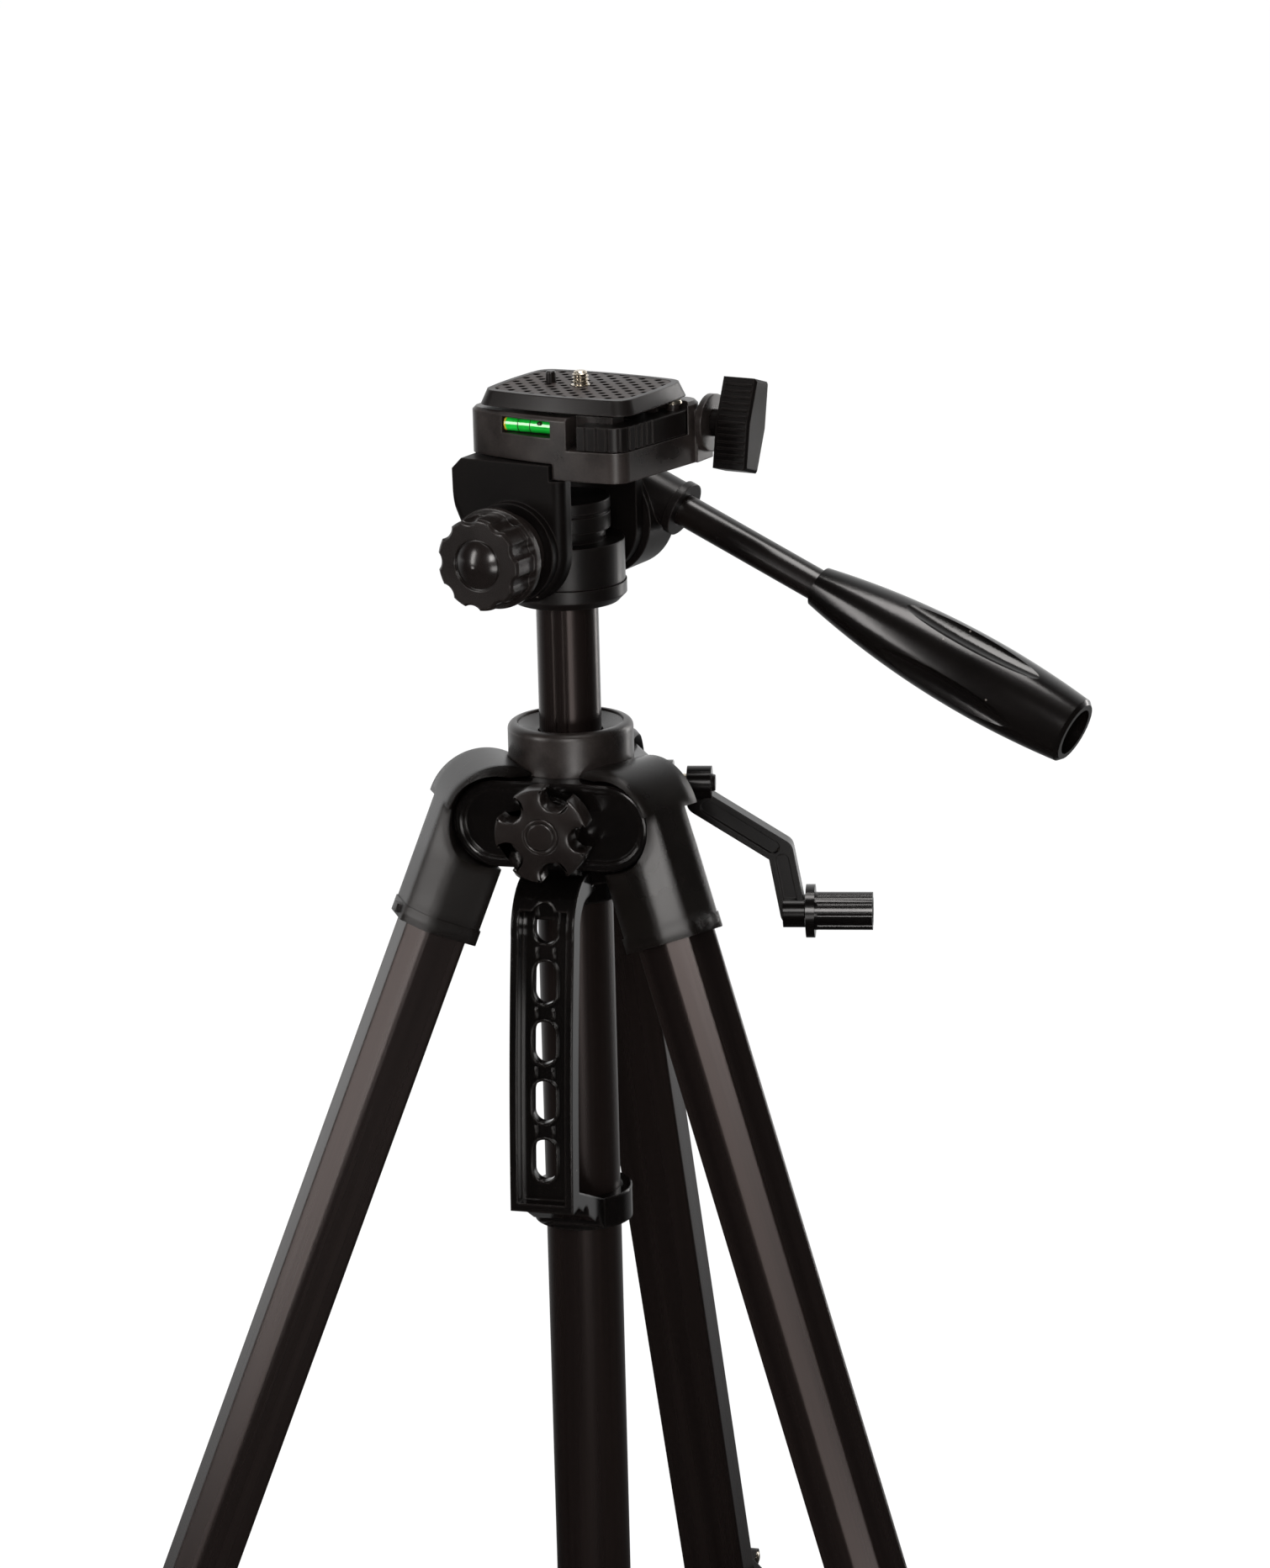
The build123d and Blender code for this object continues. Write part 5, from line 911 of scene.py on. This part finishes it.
@dataclass
class CrankDrive(Assembly):
    """Pinion shaft, cranked arm and the grip that spins on it.

    Attributes:
        hub_end: outer face of the hub along the shaft.
        elbow: the elbow, along the shaft and below it.
        arm_half: half the arm's depth, less its groove.
        throw: the grip's axis below the shaft.
        pin_end: end of the grip's pin along the shaft.
        hub_screw: radius, height and slot of the hub's screw.
        rivet: radius, rise and foot of the elbow's rivets.
        keeper: radius, height and slot of the screw that keeps the grip on.
    """

    hub_end: float = 53.0
    elbow: Pair = (79.5, 27.0)
    arm_half: float = 2.6
    throw: float = 52.0
    pin_end: float = 109.25
    hub_screw: Triple = (3.6, 1.4, 1.0)
    rivet: Triple = (1.7, 1.0, 0.4)
    keeper: Triple = (4.3, 1.8, 1.0)

    skins = {ARM: ["crank_arm"], GRIP: ["crank_grip"], NICKEL: ["crank_shaft"]}

    def build(self) -> None:
        """Add the hub's screw, the elbow's rivets and the screw that keeps the grip on."""
        outwards = turn("Y", 90)
        hub = Shape().slotted_head(*self.hub_screw, shift(self.hub_end, 0, 0) @ outwards)
        hub.piece("crank_hub_screw", CRANK, "crank", STEEL)
        along, below = self.elbow
        rivets = Shape()
        for side in (1, -1):
            rivets.dome(*self.rivet, shift(along, side * self.arm_half, -below) @ turn("X", -90 * side))
        rivets.piece("crank_elbow_rivets", CRANK, "crank", NICKEL)
        keeper = Shape().slotted_head(*self.keeper, shift(self.pin_end, 0, -self.throw) @ outwards)
        keeper.piece("crank_grip_screw", CRANK, "crank", NICKEL)


@dataclass
class CarryHandle(Assembly):
    """Slotted handle in front of the guide tube.

    Attributes:
        heights: top, middle and foot of the strap.
        fronts: front face at those heights from the column's axis.
        channel: depth of the channel.
        slots: heights of the slots' centres.
        slot: width and length of a slot.
        lip: width and height of the bead round a slot.
        seat: depth of the beads in the channel's floor.
        rib: size of the ribs between slots, across, along and outwards.
        rib_side: ribs from the strap's middle.
        rib_edge: radius of their edges.
    """

    heights: Triple = (-34.0, -87.25, -140.5)
    fronts: Triple = (47.5, 55.0, 59.0)
    channel: float = 5.5
    slots: Sequence[float] = (-121.3, -98.3, -75.3, -52.3, -29.3)
    slot: Pair = (9.0, 16.5)
    lip: Pair = (1.1, 0.9)
    seat: float = 0.3
    rib: Triple = (1.3, 4.6, 1.6)
    rib_side: float = 3.4
    rib_edge: float = 0.4

    skins = {GLOSS: ["carry_handle"]}

    def floor(self, height: float) -> Matrix:
        """Find a frame on the channel's floor: X across, Y up the strap, Z outwards.

        Args:
            height: height above the datum.

        Returns:
            The frame.
        """
        (z0, z1, z2), (y0, y1, y2) = self.heights, self.fronts
        first, second = (y1 - y0) / (z1 - z0), (y2 - y1) / (z2 - z1)
        bend = (second - first) / (z2 - z0)
        front = y0 + first * (height - z0) + bend * (height - z0) * (height - z1)
        slope = first + bend * (2 * height - z0 - z1)
        lean = math.degrees(math.atan(slope))
        return shift(0, self.channel - front, height) @ turn("X", 90 + lean)

    def build(self) -> None:
        """Bead the slots and rib the bars between them."""
        beads = Shape()
        width, length = self.slot
        for height in self.slots[:-1]:
            before = set(beads.mesh.verts)
            rings = [bmesh.ops.create_circle(beads.mesh, segments=32, radius=width / 2 + out)["verts"]
                     for out in (0.05, self.lip[0])]
            edges = around([*rings[0], *rings[1]], "link_edges")
            ring = bmesh.ops.bridge_loops(beads.mesh, edges=edges)["faces"]
            beads.extrude(ring, self.lip[1] + self.seat)
            beads.stretch(before, 1, (length - width) / 2)
            beads.settle(before, self.floor(height) @ shift(0, 0, -self.seat))
        for upper, lower in zip(self.slots, self.slots[1:]):
            for side in (1, -1):
                place = self.floor((upper + lower) / 2) @ shift(side * self.rib_side, 0, self.seat)
                beads.bar(self.rib, place, self.rib_edge)
        beads.piece("handle_slot_beads", SHOULDER, "shoulder", GLOSS)


class PanHead(Assembly):
    """Turning body, tilt bracket, tilt lock and the handle's socket."""

    skins = {SATIN: ["pan_housing", "handle_socket"], DULL_SHADED: ["tilt_bracket"],
             KNOB: ["tilt_knob"], NICKEL: ["tilt_axle"]}


class PanHandle(Assembly):
    """Rod and moulded grip."""

    skins = {ROD: ["handle_rod"], GRIP: ["handle_grip"]}


@dataclass
class Platform(Assembly):
    """Camera platform with its level, its flip hinge and wing knob.

    Attributes:
        vial: middle of the level's vial.
        vial_size: radius and length of the vial.
        plug: length of the vial's plug.
        ease: radius of the vial's ends.
        rings: places of the reading rings along the vial.
        bubble: place of the bubble from the vial's middle.
        bubble_size: half its length, depth and height.
        hinge: flip hinge's axis across and up.
        wing: start of the wing, its depth, waist, tip and length.
        wing_turn: turn of the wing, degrees.
        ribs: number of ribs above the wing's middle and as many below, and their spacing.
        rib: width and height of a rib, and how far it stops short of the wing's depth.
        nut: place of the hinge's nut along its axis, radius and thickness.
        lever_pin: quick-release lever's pivot.
        lever_screw: radius, height and slot of the screw over it.
        screw_turn: turn of that slot, degrees.
    """

    vial: Triple = (1.0, -23.8, 160.3)
    vial_size: Pair = (2.9, 22.2)
    plug: float = 1.2
    ease: float = 0.5
    rings: Pair = (-4.6, 0.6)
    bubble: Triple = (4.9, -1.75, 1.0)
    bubble_size: Triple = (1.9, 1.2, 1.1)
    hinge: Pair = (28.0, 155.4)
    wing: tuple[float, float, float, float, float] = (55.0, 14.0, 14.5, 10.5, 35.0)
    wing_turn: float = -17.0
    ribs: tuple[int, float] = (6, 2.45)
    rib: Triple = (1.0, 1.1, 2.4)
    nut: Triple = (-22.2, 5.2, 3.4)
    lever_pin: Triple = (41.0, 13.2, 165.0)
    lever_screw: Triple = (3.6, 1.2, 0.9)
    screw_turn: float = 35.0

    skins = {PATCHY_PALE: ["platform"], DULL_SHADED: ["flip_wing_knob"], SPIRIT: ["level_vial"]}

    def build_vial(self) -> None:
        """Make the level: round-ended tube, plug, reading rings and bubble."""
        radius, length = self.vial_size
        along = shift(*self.vial) @ turn("Y", 90)
        end, ease = length / 2, self.ease
        joint = self.plug - end
        tube = Shape().lathe(
            [(0, joint), (radius, joint), (radius, end - ease), (radius - ease, end), (0, end)], along)
        tube.piece("vial_tube", HEAD, "camera_platform", SPIRIT, hides=["level_vial"])
        cap = Shape().lathe(
            [(0, -end), (radius - ease, -end), (radius, ease - end), (radius, joint), (0, joint)], along)
        cap.piece("vial_plug", HEAD, "camera_platform", PLUG)
        rings = Shape()
        for place in self.rings:
            low, high, inner, outer = place - 0.15, place + 0.15, radius - 0.2, radius + 0.04
            rings.lathe([(inner, low), (outer, low), (outer, high), (inner, high), (inner, low)], along)
        rings.piece("vial_rings", HEAD, "camera_platform", STEEL)
        # The bubble is an opaque dark ellipsoid: painted shade for the light that its skin turns away.
        bubble = Shape()
        bmesh.ops.create_uvsphere(bubble.mesh, u_segments=24, v_segments=12, radius=1.0)
        bmesh.ops.scale(bubble.mesh, verts=bubble.mesh.verts, vec=self.bubble_size)
        middle = Vector(self.vial) + Vector(self.bubble)
        bmesh.ops.translate(bubble.mesh, verts=bubble.mesh.verts, vec=middle)
        bubble.piece("vial_bubble", HEAD, "camera_platform", PAINTED_DARK_BUBBLE)

    def build_wing(self) -> None:
        """Rib the wing knob's two grips and put the nut on its bolt."""
        start, depth, waist, tip, length = self.wing
        count, pitch = self.ribs
        width, height, short = self.rib
        place = shift(start, *self.hinge) @ turn("X", self.wing_turn)
        ribs = Shape()
        for side in (1, -1):
            for i in range(-count, count + 1):
                up = i * pitch
                out = (waist - (waist - tip) * abs(up) / (length / 2)) / 2
                middle = shift(depth / 2, side * (out + 0.05), up)
                ribs.bar((depth - short, width, height), place @ middle, 0.3)
        ribs.piece("wing_ribs", HEAD, "flip_lock", DULL_SHADED)
        along, radius, thickness = self.nut
        nut = Shape()
        bmesh.ops.create_cone(nut.mesh, cap_ends=True, segments=6, radius1=radius, radius2=radius,
                              depth=thickness)
        nut.ease(nut.mesh.verts, 0.4)
        bmesh.ops.transform(nut.mesh, matrix=shift(along, *self.hinge) @ turn("Y", 90), verts=nut.mesh.verts)
        nut.piece("hinge_nut", HEAD, "flip_lock", STEEL)

    def build(self) -> None:
        """Make the level, the wing's ribs and the screw over the lever's pivot."""
        self.build_vial()
        self.build_wing()
        screw = Shape().slotted_head(*self.lever_screw, shift(*self.lever_pin) @ turn("Z", self.screw_turn))
        screw.piece("lever_pivot_screw", HEAD, "camera_platform", NICKEL)


@dataclass
class QuickRelease(Assembly):
    """Quick-release lever and plate with its pad, camera screw and register pin.

    Attributes:
        screw: place of the camera screw along the head.
        head: radius, height and slot of the screw's head.
        head_low: underside of the head.
        shank: radius and end of the plain shank.
        core: radius and end of the threaded part's core.
        thread: radius and pitch of the thread.
    """

    screw: float = 8.6
    head: Triple = (7.5, 3.8, 2.0)
    head_low: float = 155.7
    shank: Pair = (3.7, 172.1)
    core: Pair = (2.55, 177.4)
    thread: Pair = (3.175, 1.27)

    skins = {SATIN: ["qr_lever", "qr_plate"], STEEL: ["anti_twist_pin"],
             PAD: ["plate_pad"], NICKEL: ["camera_screw"]}

    def build(self) -> None:
        """Make the camera screw: slotted head under the plate, plain shank and threaded end."""
        axis = shift(self.screw, 0, 0)
        (wide, step), (core, end) = self.shank, self.core
        foot = self.head_low + 2.0
        screw = Shape().lathe([(0, foot), (wide, foot), (wide, step), (core, step + 0.1), (core, end - 0.5),
                               (core - 0.6, end), (0, end)], axis)
        screw.thread(core, *self.thread, step + 0.6, end - 0.9, axis)
        screw.slotted_head(*self.head, axis @ shift(0, 0, self.head_low + self.head[1]) @ turn("X", 180))
        screw.piece("camera_stud", HEAD, "camera_bolt", NICKEL, hides=["camera_screw"])


@dataclass(frozen=True)
class Lamp:
    """A soft box aimed at the shoulder.

    Attributes:
        name: the lamp's name.
        place: position in metres.
        size: width and height in metres.
        watts: power.
    """

    name: str
    place: Triple
    size: Pair
    watts: float

    def hang(self, colour: Triple) -> None:
        """Hang the lamp in the scene.

        Args:
            colour: colour of its light.
        """
        data = bpy.data.lights.new(self.name, "AREA")
        data.shape = "RECTANGLE"
        data.size, data.size_y = self.size
        data.energy = self.watts
        data.color = colour
        lamp = bpy.data.objects.new(self.name, data)
        lamp.location = self.place
        aim = Vector((0, 0, DATUM * MM)) - Vector(self.place)
        lamp.rotation_euler = aim.to_track_quat("-Z", "Y").to_euler()
        bpy.context.scene.collection.objects.link(lamp)


@dataclass
class Studio:
    """Floor, lamps, world and camera.

    Attributes:
        camera_mm: camera position from the shoulder datum's point on the column axis.
        direction: viewing direction.
        roll: turn of the picture about the viewing direction, degrees.
        lens_mm: focal length on a 36 mm long side.
        behind: direction of the white backdrop.
        room: brightness that reflections find in front of the object and behind it.
        floor_span: metres behind the object where the floor in reflections starts and ends its change.
        world_span: the same for the world, as a cosine to the backdrop's direction.
        glow: the floor's brightness to the camera.
        glow_share: share of that glow, beside the paper that shows the shadow.
        fill: light of the world on the object.
        floor_size: half the floor's width in metres, and its height.
        warmth: colour of the lamps.
        lamps: the soft boxes.
    """

    camera_mm: Triple = (533.6, -1869.2, 547.7)
    direction: Triple = (-0.2531, 0.9305, -0.2649)
    roll: float = -1.407
    lens_mm: float = 119.66
    behind: Triple = (-0.26, 0.96, 0.0)
    room: Pair = (0.025, 1.0)
    floor_span: Pair = (0.3, 2.5)
    world_span: Pair = (0.2, 0.7)
    glow: float = 1.1
    glow_share: float = 0.92
    fill: float = 0.1
    floor_size: Pair = (40.0, -0.0005)
    warmth: Triple = (1.0, 0.97, 0.95)
    lamps: Sequence[Lamp] = (
        Lamp("strip_left", (-1.40, -1.40, 1.05), (0.35, 1.2), 14.0),
        Lamp("box_camera", (0.50, -2.05, 1.25), (0.45, 0.6), 16.0),
        Lamp("strip_right", (1.2, 1.6, 0.75), (0.3, 1.5), 10.0),
        Lamp("box_top", (0.1, -0.1, 2.3), (0.9, 0.7), 19.0),
        Lamp("card_front", (0.5, -1.3, 0.25), (0.46, 0.35), 3.6))

    def reflected(self, graph: Graph, where: Socket, span: Pair) -> Socket:
        """Find how bright reflections show a place: dim in front of the object, white behind it.

        Args:
            graph: the nodes that ask.
            where: the place or the direction.
            span: how far behind the change starts and ends.

        Returns:
            The brightness.
        """
        depth = graph.add("VectorMath", {"operation": "DOT_PRODUCT", 1: self.behind}, in_0=where)
        return graph.remap(depth.outputs["Value"], span, self.room)

    def paper(self) -> bpy.types.Material:
        """Make paper that is white to the camera and in reflections of the backdrop, and keeps the shadow.

        Returns:
            The material.
        """
        mat = bpy.data.materials.new("white_paper")
        graph = Graph(mat)
        coords = graph.add("TexCoord").outputs["Object"]
        fibre = graph.add("TexNoise", {"Scale": 1 / (3 * MM)}, Vector=coords)
        tone = graph.blend(fibre.outputs["Fac"], "fcfcfc", "ffffff")
        paper = graph.add("BsdfDiffuse", Color=tone)
        glow = graph.add("Emission", {"Strength": self.glow}, Color=tone)
        mirror = graph.add("Emission", Color=tone, Strength=self.reflected(graph, coords, self.floor_span))
        mirrored = graph.add("MixShader", in_0=graph.rays("Is Glossy Ray"), in_1=paper.outputs["BSDF"],
                             in_2=mirror.outputs["Emission"])
        seen = graph.rays("Is Camera Ray", "Is Transmission Ray")
        share = graph.add("Math", {"operation": "MULTIPLY", 1: self.glow_share}, in_0=seen)
        mix = graph.add("MixShader", in_0=share.outputs["Value"], in_1=mirrored.outputs["Shader"],
                        in_2=glow.outputs["Emission"])
        graph.add("OutputMaterial", Surface=mix.outputs["Shader"])
        return mat

    def build_floor(self) -> None:
        """Lay a plain pale floor under the feet."""
        size, height = self.floor_size
        mesh = bpy.data.meshes.new("floor")
        shape = bmesh.new()
        bmesh.ops.create_grid(shape, x_segments=2, y_segments=2, size=size)
        bmesh.ops.translate(shape, verts=shape.verts, vec=(0, 0, height))
        shape.to_mesh(mesh)
        shape.free()
        mesh.materials.append(self.paper())
        floor = bpy.data.objects.new("floor", mesh)
        bpy.context.scene.collection.objects.link(floor)

    def build_world(self) -> None:
        """Set a white surround, with a dim studio in front of the object for reflections to find."""
        world = bpy.data.worlds.new("studio")
        bpy.context.scene.world = world
        graph = Graph(world)
        coords = graph.add("TexCoord").outputs["Generated"]
        pale = {"Color": (1, 1, 1, 1)}
        fill = graph.add("Background", {**pale, "Strength": self.fill})
        room = graph.add("Background", pale, Strength=self.reflected(graph, coords, self.world_span))
        white = graph.add("Background", {**pale, "Strength": 1.0})
        mirrored = graph.add("MixShader", in_0=graph.rays("Is Glossy Ray"), in_1=fill.outputs["Background"],
                             in_2=room.outputs["Background"])
        mix = graph.add("MixShader", in_0=graph.rays("Is Camera Ray", "Is Transmission Ray"),
                        in_1=mirrored.outputs["Shader"], in_2=white.outputs["Background"])
        graph.add("OutputWorld", Surface=mix.outputs["Shader"])

    def build_camera(self) -> None:
        """Set the camera where the picture was taken from."""
        data = bpy.data.cameras.new("camera")
        data.lens = self.lens_mm
        data.sensor_width = 36.0
        data.clip_end = 100.0
        camera = bpy.data.objects.new("camera", data)
        aim = Vector(self.direction).normalized()
        level = aim.to_track_quat("-Z", "Y").to_matrix().to_4x4() @ turn("Z", self.roll)
        place = Vector(self.camera_mm) * MM + Vector((0, 0, DATUM * MM))
        camera.matrix_world = Matrix.Translation(place) @ level
        bpy.context.scene.collection.objects.link(camera)
        bpy.context.scene.camera = camera

    def build(self) -> None:
        """Build the whole studio."""
        bpy.context.scene.view_settings.view_transform = "Standard"
        self.build_floor()
        self.build_world()
        for lamp in self.lamps:
            lamp.hang(self.warmth)
        self.build_camera()


def main() -> None:
    """Build and dress the tripod."""
    logging.basicConfig(level=logging.INFO, format="%(message)s")
    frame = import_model()
    Studio().build()
    for assembly in (Legs(), Brace(), Shoulder(), Column(), CrankDrive(), CarryHandle(), PanHead(), PanHandle(),
                     Platform(), QuickRelease()):
        assembly.dress(frame)
        assembly.build()
        LOG.info("%s dressed", type(assembly).__name__)


if __name__ == "__main__":
    main()
